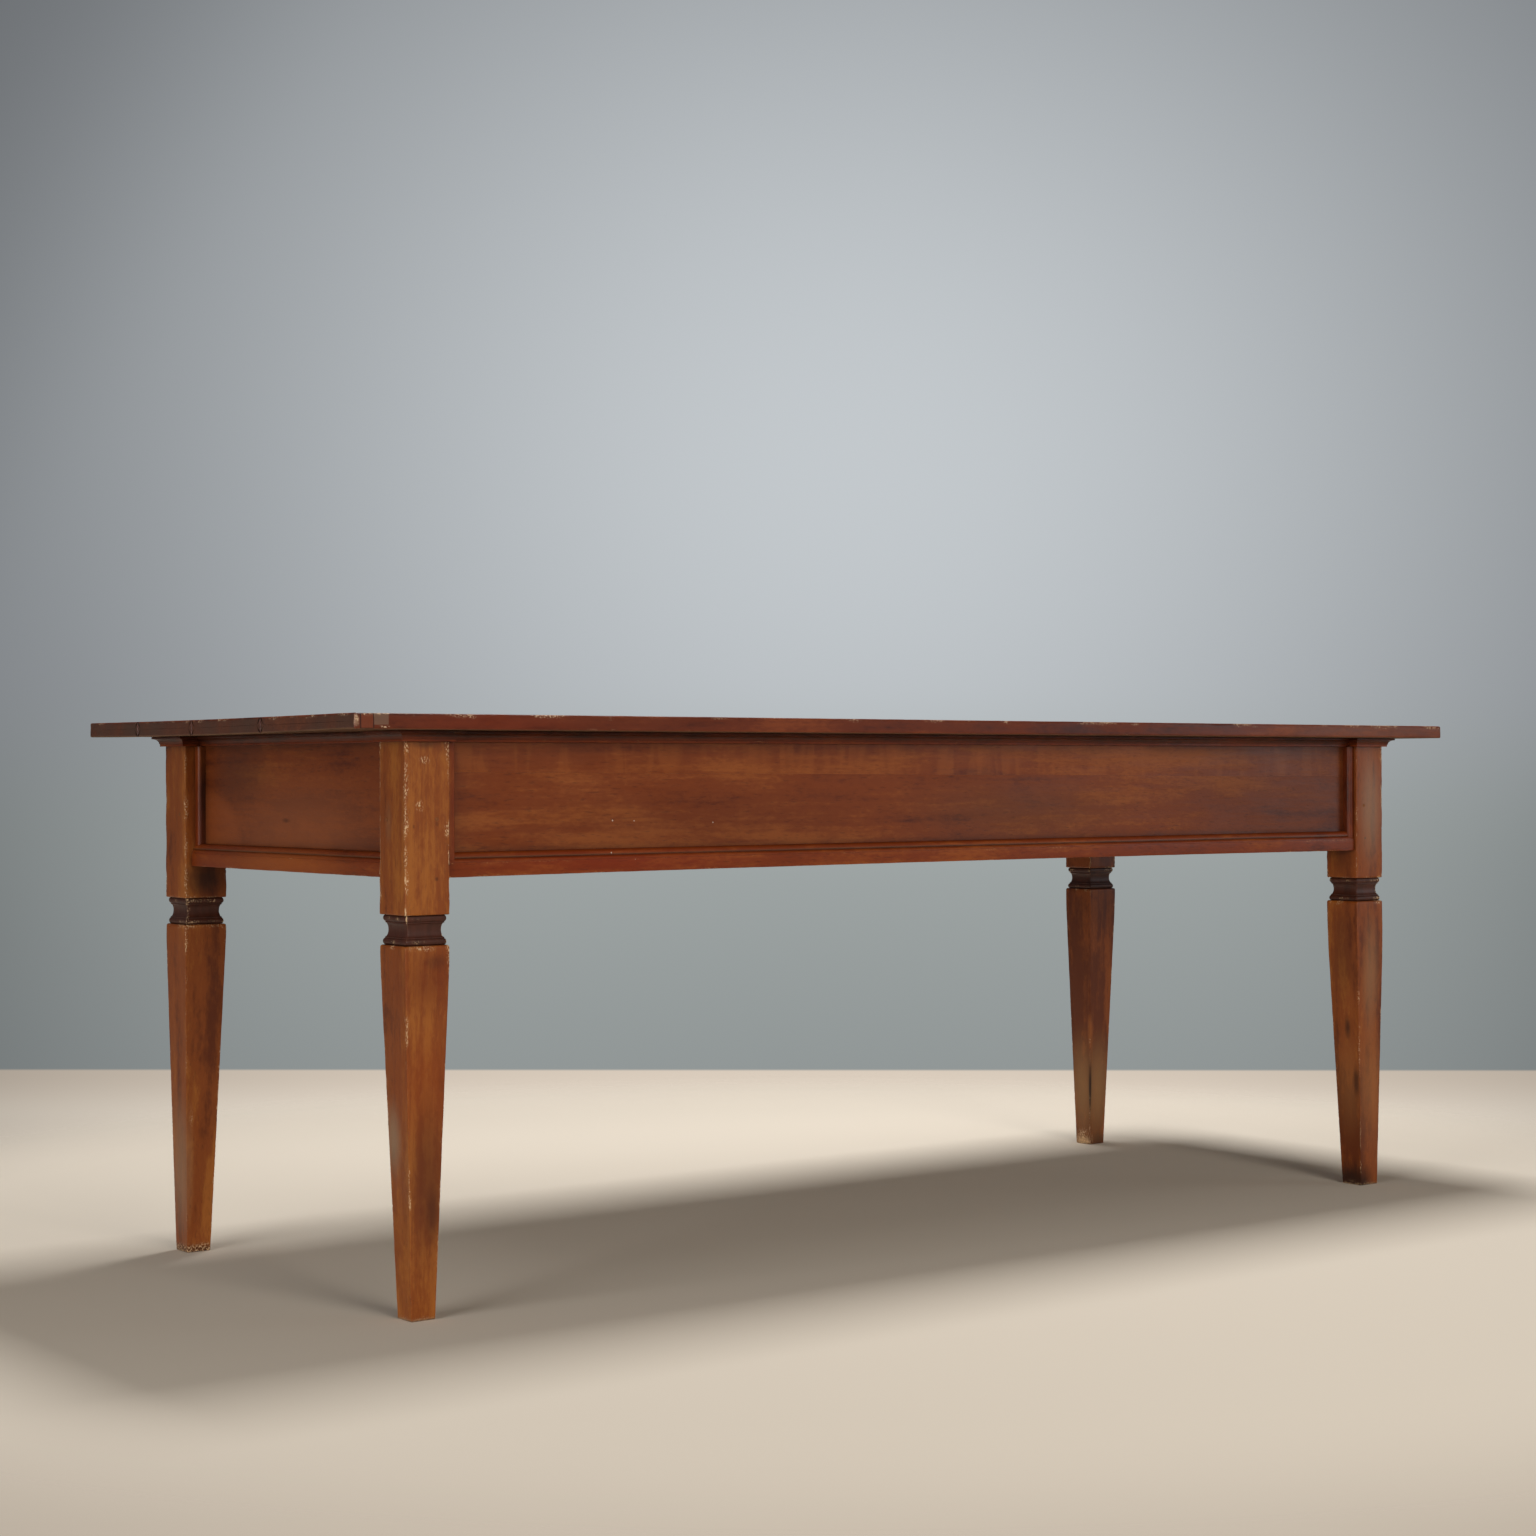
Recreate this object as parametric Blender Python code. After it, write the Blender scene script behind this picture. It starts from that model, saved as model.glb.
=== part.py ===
"""A long walnut dining table on square tapered legs, modelled piece by piece.

The origin is on the floor under the middle of the top. +X runs along the table to the right,
+Y runs to the back and +Z is up. Lengths are in metres.
"""
import math

import bmesh
import bpy
from mathutils import Vector

# Whole table
TABLE_LENGTH = 2.100
TABLE_DEPTH = 0.800
TABLE_HEIGHT = 0.780

# Space left between pieces that touch
CLEARANCE = 0.0003
# How far a cutter runs past what it cuts
OVERRUN = 0.003

# Top: boards glued edge to edge, from front to back
TOP_THICKNESS = 0.0205
TOP_OVERHANG_END = 0.098
TOP_OVERHANG_SIDE = 0.047
TOP_EDGE_EASE = 0.0022
TOP_BOARD_NAMES = ("front", "middle_front", "middle_back", "back")
TOP_BOARD_SHARES = (0.3175, 0.2575, 0.2175, 0.2075)

# Legs: post, neck and taper are all square in section
LEG_WIDTH = 0.066
LEG_ARRIS = 0.0009
POST_DROP = 0.0460
POST_FOOT_ROUND = 0.0012
NECK_HEIGHT = 0.0405
NECK_BEAD_HEIGHT = 0.0088
NECK_BEAD_DEPTH = 0.0027
NECK_BEAD_INSET = 0.0028
NECK_FILLET_INSET = 0.0048
NECK_FILLET_HEIGHT = 0.0014
NECK_COVE_INSET = 0.0074
TAPER_SHOULDER_HEIGHT = 0.0030
TAPER_SHOULDER_DEPTH = 0.0026
TAPER_TOP_WIDTH = 0.0628
TAPER_EASE_LENGTH = 0.110
FOOT_WIDTH = 0.0335
FOOT_CHAMFER = 0.0015

# Aprons: height from the top's underside, face set back from the legs' faces
APRON_HEIGHT = 0.1903
APRON_THICKNESS = 0.022
SIDE_APRON_SETBACK = 0.0185
END_APRON_SETBACK = 0.0265
SEAM_DROP_START = 0.0540
SEAM_DROP_END = 0.0655

# Tenons on the aprons
TENON_THICKNESS = 0.010
TENON_LENGTH = 0.028
TENON_SHOULDER = 0.010
MORTISE_SPARE_DEPTH = 0.001

# Pegs driven through the legs and the tenons: their height is taken from the aprons' foot
PEG_WIDTH = 0.0055
PEG_INSET = 0.0190
PEG_HEIGHT = 0.076
PEG_PAST_TENON = 0.0065
PEG_POINT_LENGTH = 0.0030
PEG_POINT_WIDTH = 0.0030
PEG_PROUD = 0.0004

# Lower mouldings, set back from the legs' faces: a flat, a small round, a groove and an ovolo
MOULDING_FLAT_HEIGHT = 0.0193
MOULDING_STEP = 0.0008
MOULDING_ROUND_HEIGHT = 0.0050
MOULDING_ROUND_DEPTH = 0.0035
MOULDING_GROOVE_HEIGHT = 0.0012
MOULDING_GROOVE_DEPTH = 0.0016
MOULDING_OVOLO_HEIGHT = 0.0075
MOULDING_OVOLO_DEPTH = 0.0065
SIDE_MOULDING_SETBACK = 0.0045
END_MOULDING_SETBACK = 0.0095

# Corner strips: a flat with a quarter round on its inner edge
STRIP_FLAT_WIDTH = 0.0080
STRIP_ROUND_RADIUS = 0.0050
SIDE_STRIP_SETBACK = 0.0056
END_STRIP_SETBACK = 0.0150

# Cornice under the top: a fillet, a cove and a wider fillet on top
CORNICE_FOOT_FILLET_HEIGHT = 0.0036
CORNICE_FOOT_FILLET_DEPTH = 0.0062
CORNICE_COVE_START_DEPTH = 0.0070
CORNICE_COVE_RADIUS = 0.0072
CORNICE_TOP_FILLET_HEIGHT = 0.0036
CORNICE_TOP_FILLET_DEPTH = 0.0155

# Cross rails between the long aprons, placed by a share of half the apron's length
RAIL_PLACE_SHARE = 0.372
RAIL_THICKNESS = 0.026
RAIL_HEIGHT = 0.060
RAIL_TAIL_LENGTH = 0.010
RAIL_TAIL_HEIGHT = 0.026
RAIL_TAIL_FLARE = 0.0025
RAIL_CHAMFER = 0.003

# Glue blocks in the angle between the long aprons and the top, placed by shares of half the apron
BLOCK_LENGTH = 0.070
BLOCK_SIZE = 0.026
BLOCK_CHAMFER = 0.010
BLOCK_PLACE_SHARES = (-0.722, 0.722)

# Number of steps in the round parts of a profile
ARC_STEPS = 6
SMALL_ARC_STEPS = 4
TAPER_STEPS = 6
EASE_SEGMENTS = 2
PEG_SIDES = 8

# Finishes: colour, roughness, metallic
WALNUT_TOP = ((0.118, 0.043, 0.021), 0.42, 0.0)
WALNUT_LEG = ((0.201, 0.079, 0.028), 0.45, 0.0)
WALNUT_APRON = ((0.133, 0.042, 0.018), 0.42, 0.0)
WALNUT_MOULDING = ((0.146, 0.048, 0.019), 0.42, 0.0)
PLAIN_WOOD = ((0.270, 0.152, 0.075), 0.70, 0.0)
PEG_WOOD = ((0.045, 0.020, 0.010), 0.60, 0.0)

# Heights and half sizes that follow from the driving sizes
TOP_UNDERSIDE = TABLE_HEIGHT - TOP_THICKNESS
FRAME_TOP = TOP_UNDERSIDE - CLEARANCE
APRON_FOOT = TOP_UNDERSIDE - APRON_HEIGHT
POST_FOOT = APRON_FOOT - POST_DROP
TAPER_TOP = POST_FOOT - NECK_HEIGHT
HALF_FRAME_LENGTH = TABLE_LENGTH / 2 - TOP_OVERHANG_END
HALF_FRAME_DEPTH = TABLE_DEPTH / 2 - TOP_OVERHANG_SIDE
CORNICE_HEIGHT = CORNICE_FOOT_FILLET_HEIGHT + CORNICE_COVE_RADIUS + CORNICE_TOP_FILLET_HEIGHT
CORNICE_FOOT = FRAME_TOP - CORNICE_HEIGHT

# The sides of the frame, each a quarter turn from the one before.
# A side runs along its own +X, and its outer face looks along its own -Y.
SIDES = ("front", "right", "back", "left")
LONG_SIDES = ("front", "back")

# Each leg stands where one side ends and the next begins
LEGS = {
    "front_left": {"first": "front", "second": "left"},
    "front_right": {"first": "right", "second": "front"},
    "back_right": {"first": "back", "second": "right"},
    "back_left": {"first": "left", "second": "back"},
}


def clear_scene():
    """Start from an empty scene."""
    for old in list(bpy.data.objects):
        bpy.data.objects.remove(old, do_unlink=True)


def wood_material(name, finish):
    """A plain finish for one piece."""
    colour, roughness, metallic = finish
    material = bpy.data.materials.new(name)
    material.use_nodes = True
    shader = material.node_tree.nodes["Principled BSDF"]
    shader.inputs["Base Color"].default_value = (*colour, 1.0)
    shader.inputs["Roughness"].default_value = roughness
    shader.inputs["Metallic"].default_value = metallic
    return material


def quarter_turn(turns):
    """The angle of a number of quarter turns about Z."""
    return turns * math.pi / 2


def turns_of(side):
    """How many quarter turns bring the front to this side."""
    return SIDES.index(side)


def half_run(side):
    """Half the length of a side, over its legs."""
    return HALF_FRAME_LENGTH if side in LONG_SIDES else HALF_FRAME_DEPTH


def half_reach(side):
    """How far a side's legs stand out from the table's middle."""
    return HALF_FRAME_DEPTH if side in LONG_SIDES else HALF_FRAME_LENGTH


def turned(point, turns):
    """A point turned about Z by quarter turns."""
    x, y, z = point
    for _ in range(turns % 4):
        x, y = -y, x
    return Vector((x, y, z))


def add_object(name, mesh_data, location=(0, 0, 0), turns=0):
    """Put a mesh in the scene at its place."""
    piece = bpy.data.objects.new(name, mesh_data)
    piece.location = location
    piece.rotation_euler = (0, 0, quarter_turn(turns))
    bpy.context.collection.objects.link(piece)
    return piece


def finish_mesh(name, shape):
    """Turn a bmesh into a mesh whose faces all look outwards."""
    bmesh.ops.recalc_face_normals(shape, faces=shape.faces)
    mesh_data = bpy.data.meshes.new(name)
    shape.to_mesh(mesh_data)
    shape.free()
    return mesh_data


def add_piece(name, shape, finish, location=(0, 0, 0), turns=0):
    """Add one piece of the table with its own finish."""
    piece = add_object(name, finish_mesh(name, shape), location, turns)
    piece.data.materials.append(wood_material(name, finish))
    return piece


def add_cutter(name, shape, location=(0, 0, 0), turns=0):
    """Add a shape that only cuts other pieces."""
    cutter = add_object(name, finish_mesh(name, shape), location, turns)
    cutter.display_type = "WIRE"
    cutter.hide_render = True
    return cutter


def combine(piece, other, operation):
    """Cut another shape from a piece, or join it on."""
    boolean = piece.modifiers.new(operation.lower(), "BOOLEAN")
    boolean.operation = operation
    boolean.solver = "EXACT"
    boolean.object = other


def cut(piece, cutter):
    """Take a cutter away from a piece."""
    combine(piece, cutter, "DIFFERENCE")


def join(piece, shape):
    """Make a shape part of a piece."""
    combine(piece, shape, "UNION")


def add_rings(shape, rings):
    """Join closed rings of points into a solid with flat ends."""
    loops = [[shape.verts.new(point) for point in ring] for ring in rings]
    for lower, upper in zip(loops, loops[1:]):
        count = len(lower)
        for i in range(count):
            j = (i + 1) % count
            shape.faces.new((lower[i], lower[j], upper[j], upper[i]))
    shape.faces.new(loops[0])
    shape.faces.new(loops[-1])


def prism(outline, start, end, place):
    """A solid of one outline between two positions, where place gives each point."""
    shape = bmesh.new()
    add_rings(shape, [[place(a, b, position) for a, b in outline] for position in (start, end)])
    return shape


def box_ring(low, high, height):
    """The four corners of a box at one height."""
    return [(low[0], low[1], height), (high[0], low[1], height),
            (high[0], high[1], height), (low[0], high[1], height)]


def add_box(shape, low, high):
    """Add a box between two corners."""
    add_rings(shape, [box_ring(low, high, low[2]), box_ring(low, high, high[2])])


def arc(centre, radii, first, last, steps=ARC_STEPS):
    """Points along an ellipse's arc, with its angles in quarter turns."""
    points = []
    for i in range(steps + 1):
        angle = quarter_turn(first + (last - first) * i / steps)
        points.append((centre[0] + radii[0] * math.cos(angle), centre[1] + radii[1] * math.sin(angle)))
    return points


def bevel_edges(shape, wanted, width, segments):
    """Ease the edges that the test picks."""
    edges = [edge for edge in shape.edges if wanted(edge)]
    bmesh.ops.bevel(shape, geom=edges, offset=width, segments=segments, affect="EDGES", profile=0.5)


def side_setback(side, long_value, end_value):
    """The setback that belongs to a long side or to an end."""
    return long_value if side in LONG_SIDES else end_value


def apron_setback(side):
    """How far an apron's face stands back from the legs' faces."""
    return side_setback(side, SIDE_APRON_SETBACK, END_APRON_SETBACK)


def side_place(side, along, outward, height=0.0):
    """A point given by its place along a side, outwards from the table's middle, and its height."""
    return turned((along, -outward, height), turns_of(side))


def side_origin(side):
    """The middle of a side at the legs' outer faces, on the floor."""
    return side_place(side, 0.0, half_reach(side))


def half_bay(side):
    """Half the length of apron that shows between two legs."""
    return half_run(side) - LEG_WIDTH


def seam_height(side, along):
    """The height of the joint between the two boards of a long apron."""
    half = half_bay(side)
    share = (along + half) / (2 * half)
    return TOP_UNDERSIDE - SEAM_DROP_START - (SEAM_DROP_END - SEAM_DROP_START) * share


def tenon_depths(side):
    """How deep a side's tenons start and end behind the legs' faces."""
    start = apron_setback(side) + (APRON_THICKNESS - TENON_THICKNESS) / 2
    return start, start + TENON_THICKNESS


def tenon_spans(side, along):
    """The heights between which each tenon stands at one end of a side."""
    if side not in LONG_SIDES:
        return [(APRON_FOOT + TENON_SHOULDER, FRAME_TOP - TENON_SHOULDER)]
    seam = seam_height(side, along)
    return [(APRON_FOOT + TENON_SHOULDER, seam - TENON_SHOULDER),
            (seam + TENON_SHOULDER, FRAME_TOP - TENON_SHOULDER)]


# Top

def make_top_boards():
    """Boards glued edge to edge, with the outer edges of the top eased."""
    half_length = TABLE_LENGTH / 2
    front = -TABLE_DEPTH / 2
    last = len(TOP_BOARD_NAMES) - 1
    for i, (name, share) in enumerate(zip(TOP_BOARD_NAMES, TOP_BOARD_SHARES)):
        back = front + TABLE_DEPTH * share / sum(TOP_BOARD_SHARES)
        low_y = front + (CLEARANCE / 2 if i > 0 else 0)
        high_y = back - (CLEARANCE / 2 if i < last else 0)
        shape = bmesh.new()
        add_box(shape, (-half_length, low_y, TOP_UNDERSIDE), (half_length, high_y, TABLE_HEIGHT))

        def on_outside(edge, low=low_y, high=high_y, first=i == 0, final=i == last):
            ends = [vert.co for vert in edge.verts]
            at_end = abs(ends[0].x - ends[1].x) < CLEARANCE
            at_front = first and all(abs(point.y - low) < CLEARANCE for point in ends)
            at_back = final and all(abs(point.y - high) < CLEARANCE for point in ends)
            across = at_end and abs(ends[0].y - ends[1].y) > CLEARANCE
            return across or at_front or at_back

        bevel_edges(shape, on_outside, TOP_EDGE_EASE, EASE_SEGMENTS)
        add_piece("top_board_" + name, shape, WALNUT_TOP)
        front = back


# Legs

def square_ring(half_width, height, arris=LEG_ARRIS):
    """A square of points with its corners cut, centred on a leg."""
    inner = half_width - arris
    corners = ((-1, -1), (1, -1), (1, 1), (-1, 1))
    ring = []
    for i, (sx, sy) in enumerate(corners):
        first = (sx * half_width, sy * inner) if i % 2 == 0 else (sx * inner, sy * half_width)
        second = (sx * inner, sy * half_width) if i % 2 == 0 else (sx * half_width, sy * inner)
        ring.append((*first, height))
        ring.append((*second, height))
    return ring


def neck_profile():
    """Points down the neck as (inset from the post's face, drop from the post's foot)."""
    fillet = NECK_FILLET_HEIGHT
    bead_radius = NECK_BEAD_HEIGHT / 2
    bead_core = NECK_BEAD_INSET + NECK_BEAD_DEPTH
    lower_bead_foot = NECK_HEIGHT - TAPER_SHOULDER_HEIGHT
    cove_top = NECK_BEAD_HEIGHT + fillet
    cove_foot = lower_bead_foot - NECK_BEAD_HEIGHT - fillet
    points = [(bead_core, 0.0)]
    points += arc((bead_core, bead_radius), (-NECK_BEAD_DEPTH, bead_radius), -1, 1)[1:]
    points.append((NECK_FILLET_INSET, NECK_BEAD_HEIGHT))
    points += arc((NECK_FILLET_INSET, (cove_top + cove_foot) / 2),
                  (NECK_COVE_INSET - NECK_FILLET_INSET, (cove_foot - cove_top) / 2), -1, 1)
    points.append((NECK_FILLET_INSET, cove_foot + fillet))
    points += arc((bead_core, lower_bead_foot - bead_radius), (-NECK_BEAD_DEPTH, bead_radius), -1, 1)
    return points


def taper_half_width(drop):
    """Half the width of the taper, below its top, which starts gently and then runs straight."""
    straight = TAPER_TOP - TAPER_EASE_LENGTH / 2
    slope = (TAPER_TOP_WIDTH - FOOT_WIDTH) / straight
    if drop < TAPER_EASE_LENGTH:
        loss = slope * drop * drop / (2 * TAPER_EASE_LENGTH)
    else:
        loss = slope * (drop - TAPER_EASE_LENGTH / 2)
    return (TAPER_TOP_WIDTH - loss) / 2


def leg_rings():
    """The rings of points of one leg, from the top of its post to its foot."""
    half = LEG_WIDTH / 2
    levels = [(half, FRAME_TOP), (half, POST_FOOT + POST_FOOT_ROUND),
              (half - POST_FOOT_ROUND, POST_FOOT)]
    levels += [(half - inset, POST_FOOT - drop) for inset, drop in neck_profile()]
    shoulder_top = TAPER_TOP + TAPER_SHOULDER_HEIGHT
    shoulder = arc((TAPER_TOP_WIDTH / 2 - TAPER_SHOULDER_DEPTH, shoulder_top - TAPER_SHOULDER_HEIGHT),
                   (TAPER_SHOULDER_DEPTH, TAPER_SHOULDER_HEIGHT), 1, 0, ARC_STEPS // 2)
    levels += shoulder
    eased = [TAPER_EASE_LENGTH * i / TAPER_STEPS for i in range(1, TAPER_STEPS + 1)]
    levels += [(taper_half_width(drop), TAPER_TOP - drop) for drop in eased]
    levels.append((taper_half_width(TAPER_TOP - FOOT_CHAMFER), FOOT_CHAMFER))
    levels.append((FOOT_WIDTH / 2 - FOOT_CHAMFER, 0.0))
    return [square_ring(half_width, height) for half_width, height in levels]


def mortise_shape(leg):
    """The blind mortises of one leg, in the leg's own frame."""
    shape = bmesh.new()
    half = LEG_WIDTH / 2
    depth = TENON_LENGTH + MORTISE_SPARE_DEPTH
    first, second = LEGS[leg]["first"], LEGS[leg]["second"]
    for side, along in ((first, -half_bay(first)), (second, half_bay(second))):
        start, end = tenon_depths(side)
        low = start - half - CLEARANCE
        high = end - half + CLEARANCE
        for foot, head in tenon_spans(side, along):
            if side == first:
                box_low = (half - depth, low, foot - CLEARANCE)
                box_high = (half + OVERRUN, high, head + CLEARANCE)
            else:
                box_low = (low, half - depth, foot - CLEARANCE)
                box_high = (high, half + OVERRUN, head + CLEARANCE)
            add_box(shape, box_low, box_high)
    return shape


def make_legs():
    """Four legs, each turned so that its own -X and -Y faces look outwards."""
    for leg, sides in LEGS.items():
        first, second = sides["first"], sides["second"]
        turns = turns_of(first)
        centre = side_place(first, -half_run(first) + LEG_WIDTH / 2, half_reach(first) - LEG_WIDTH / 2)
        shape = bmesh.new()
        add_rings(shape, leg_rings())
        piece = add_piece("leg_" + leg, shape, WALNUT_LEG, centre, turns)
        cut(piece, add_cutter("mortises_" + leg, mortise_shape(leg), centre, turns))
        cut_peg_hole(piece, first, -1)
        cut_peg_hole(piece, second, 1)


# Pegs

def peg_depth(side):
    """How far a side's pegs reach in from the legs' faces."""
    return tenon_depths(side)[1] + PEG_PAST_TENON


def peg_shape(side, end_sign, stations):
    """One peg along its side's own +Y, through stations of (depth, half width)."""
    along = end_sign * (half_bay(side) + PEG_INSET)
    height = APRON_FOOT + PEG_HEIGHT
    rings = []
    for depth, half_width in stations:
        radius = half_width / math.cos(math.pi / PEG_SIDES)
        angles = [2 * math.pi * (i + 1 / 2) / PEG_SIDES for i in range(PEG_SIDES)]
        rings.append([(along + radius * math.cos(angle), depth, height + radius * math.sin(angle))
                      for angle in angles])
    shape = bmesh.new()
    add_rings(shape, rings)
    return shape


def cut_peg_hole(piece, side, end_sign):
    """Bore a piece for the peg at one end of a side."""
    half_width = PEG_WIDTH / 2 + CLEARANCE
    stations = ((-OVERRUN, half_width), (peg_depth(side) + CLEARANCE, half_width))
    cutter = add_cutter("peg_bore_" + piece.name, peg_shape(side, end_sign, stations),
                        side_origin(side), turns_of(side))
    cut(piece, cutter)


def make_pegs():
    """An eight-sided peg with a blunt point for each tenon board, driven from outside."""
    for leg, sides in LEGS.items():
        for side, end_sign in ((sides["first"], -1), (sides["second"], 1)):
            depth = peg_depth(side)
            stations = ((-PEG_PROUD, PEG_WIDTH / 2), (depth - PEG_POINT_LENGTH, PEG_WIDTH / 2),
                        (depth, PEG_POINT_WIDTH / 2))
            add_piece("peg_" + leg + "_" + side, peg_shape(side, end_sign, stations), PEG_WOOD,
                      side_origin(side), turns_of(side))


# Aprons

def make_apron_board(name, side, foot_at, head_at, tenon_index):
    """A board with a tenon at each end, shouldered on all sides."""
    end = half_bay(side) - CLEARANCE
    reach = half_bay(side) + TENON_LENGTH
    face = apron_setback(side)
    outline = [(-end, foot_at(-end)), (end, foot_at(end)), (end, head_at(end)), (-end, head_at(-end))]
    shape = prism(outline, face, face + APRON_THICKNESS, lambda a, h, d: (a, d, h))
    piece = add_piece(name, shape, WALNUT_APRON, side_origin(side), turns_of(side))
    tenons = bmesh.new()
    near, far = tenon_depths(side)
    for sign in (-1, 1):
        foot, head = tenon_spans(side, sign * half_bay(side))[tenon_index]
        root, tip = sign * (end - OVERRUN), sign * reach
        add_box(tenons, (min(root, tip), near, foot), (max(root, tip), far, head))
    join(piece, add_cutter(name + "_tenons", tenons, side_origin(side), turns_of(side)))
    return piece


def make_aprons():
    """One board at each end and two boards along each long side."""
    for side in SIDES:
        if side not in LONG_SIDES:
            board = make_apron_board("apron_" + side, side, lambda a: APRON_FOOT, lambda a: FRAME_TOP, 0)
            cut_peg_hole(board, side, -1)
            cut_peg_hole(board, side, 1)
            continue

        def below_seam(along, side=side):
            return seam_height(side, along) - CLEARANCE / 2

        def above_seam(along, side=side):
            return seam_height(side, along) + CLEARANCE / 2

        lower = make_apron_board("apron_" + side + "_lower", side, lambda a: APRON_FOOT, below_seam, 0)
        cut_peg_hole(lower, side, -1)
        cut_peg_hole(lower, side, 1)
        upper = make_apron_board("apron_" + side + "_upper", side, above_seam, lambda a: FRAME_TOP, 1)
        cut(upper, add_cutter("rail_housings_" + side, rail_housings(side), side_origin(side),
                              turns_of(side)))


# Mouldings

def lower_moulding_profile(side, back, gap=0.0):
    """The section as (out from the apron's face, up from its foot), grown by a gap without its groove."""
    front = apron_setback(side) - side_setback(side, SIDE_MOULDING_SETBACK, END_MOULDING_SETBACK) + gap
    round_front = front - MOULDING_STEP
    round_back = round_front - MOULDING_ROUND_DEPTH
    round_foot = MOULDING_FLAT_HEIGHT + gap
    round_head = round_foot + MOULDING_ROUND_HEIGHT
    ovolo_foot = round_head + MOULDING_GROOVE_HEIGHT
    points = [(back, 0.0), (front, 0.0), (front, round_foot)]
    points += arc((round_back, round_foot), (MOULDING_ROUND_DEPTH, MOULDING_ROUND_HEIGHT), 0, 1,
                  SMALL_ARC_STEPS)
    if not gap:
        points.append((round_back - MOULDING_GROOVE_DEPTH, round_head))
        points.append((round_back - MOULDING_GROOVE_DEPTH, ovolo_foot))
    points += arc((round_back - MOULDING_OVOLO_DEPTH, ovolo_foot),
                  (MOULDING_OVOLO_DEPTH, MOULDING_OVOLO_HEIGHT), 0, 1)
    points.append((back, ovolo_foot + MOULDING_OVOLO_HEIGHT))
    return points


def moulding_length(side, back, end, gap=0.0):
    """The lower moulding's section run along its apron, in the side's own frame."""
    face = apron_setback(side)
    return prism(lower_moulding_profile(side, back, gap), -end, end,
                 lambda d, h, along: (along, face - d, APRON_FOOT + h))


def make_lower_mouldings():
    """A length along the foot of each apron, from leg to leg."""
    for side in SIDES:
        shape = moulding_length(side, CLEARANCE, half_bay(side) - CLEARANCE)
        add_piece("lower_moulding_" + side, shape, WALNUT_MOULDING, side_origin(side), turns_of(side))


def strip_profile(side):
    """A corner strip's section as (out from the apron's face, in from the leg)."""
    front = apron_setback(side) - side_setback(side, SIDE_STRIP_SETBACK, END_STRIP_SETBACK)
    points = [(CLEARANCE, CLEARANCE), (front, CLEARANCE)]
    points += arc((front - STRIP_ROUND_RADIUS, STRIP_FLAT_WIDTH),
                  (STRIP_ROUND_RADIUS, STRIP_ROUND_RADIUS), 0, 1, SMALL_ARC_STEPS)
    points.append((CLEARANCE, STRIP_FLAT_WIDTH + STRIP_ROUND_RADIUS))
    return points


def make_corner_strips():
    """An upright strip at each end of each apron, its foot scribed over the lower moulding."""
    foot = APRON_FOOT + MOULDING_FLAT_HEIGHT
    head = CORNICE_FOOT - CLEARANCE
    for side in SIDES:
        face = apron_setback(side)
        edge = half_bay(side)
        scriber = add_cutter("moulding_scribe_" + side, moulding_length(side, -OVERRUN, edge, CLEARANCE),
                             side_origin(side), turns_of(side))
        for end_name, sign in (("start", -1), ("end", 1)):
            shape = prism(strip_profile(side), foot, head,
                          lambda d, w, z, sign=sign: (sign * (edge - w), face - d, z))
            piece = add_piece("corner_strip_" + side + "_" + end_name, shape, WALNUT_MOULDING,
                              side_origin(side), turns_of(side))
            cut(piece, scriber)


def cornice_profile():
    """The cornice's section as (out from the face, up from its foot)."""
    cove_foot = CORNICE_FOOT_FILLET_HEIGHT
    cove_head = cove_foot + CORNICE_COVE_RADIUS
    cove_centre = (CORNICE_COVE_START_DEPTH + CORNICE_COVE_RADIUS, cove_foot)
    cove = arc(cove_centre, (-CORNICE_COVE_RADIUS, CORNICE_COVE_RADIUS), 0, 1)
    return ([(CLEARANCE, 0.0), (CORNICE_FOOT_FILLET_DEPTH, 0.0), (CORNICE_FOOT_FILLET_DEPTH, cove_foot)]
            + cove + [(CORNICE_TOP_FILLET_DEPTH, cove_head), (CORNICE_TOP_FILLET_DEPTH, CORNICE_HEIGHT),
                      (CLEARANCE, CORNICE_HEIGHT)])


def make_cornice_length(name, start, turns, length, start_mitre, end_mitre):
    """One mitred length. A mitre of 1 turns an outer corner and of -1 an inner corner."""
    profile = cornice_profile()
    shape = bmesh.new()
    first = [(CLEARANCE / 2 - start_mitre * d, -d, h) for d, h in profile]
    last = [(length - CLEARANCE / 2 + end_mitre * d, -d, h) for d, h in profile]
    add_rings(shape, [first, last])
    add_piece(name, shape, WALNUT_MOULDING, start, turns)


def make_cornice():
    """Lengths on the aprons, and lengths with returns that wrap each leg."""
    for side in SIDES:
        start = side_place(side, -half_bay(side), half_reach(side) - apron_setback(side), CORNICE_FOOT)
        make_cornice_length("cornice_" + side, start, turns_of(side), 2 * half_bay(side), -1, -1)
    for leg, sides in LEGS.items():
        first, second = sides["first"], sides["second"]
        turns = turns_of(first)
        corner = side_place(first, -half_run(first), half_reach(first), CORNICE_FOOT)

        def from_corner(x, y, turns=turns, corner=corner):
            return corner + turned((x, y, 0.0), turns)

        make_cornice_length("cornice_" + leg + "_" + first, from_corner(0.0, 0.0), turns,
                            LEG_WIDTH, 1, 1)
        make_cornice_length("cornice_" + leg + "_" + second, from_corner(0.0, LEG_WIDTH), turns + 3,
                            LEG_WIDTH, 1, 1)
        make_cornice_length("cornice_return_" + leg + "_" + first, from_corner(LEG_WIDTH, 0.0),
                            turns + 1, apron_setback(first), 1, -1)
        make_cornice_length("cornice_return_" + leg + "_" + second,
                            from_corner(apron_setback(second), LEG_WIDTH), turns + 2,
                            apron_setback(second), -1, 1)


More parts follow.
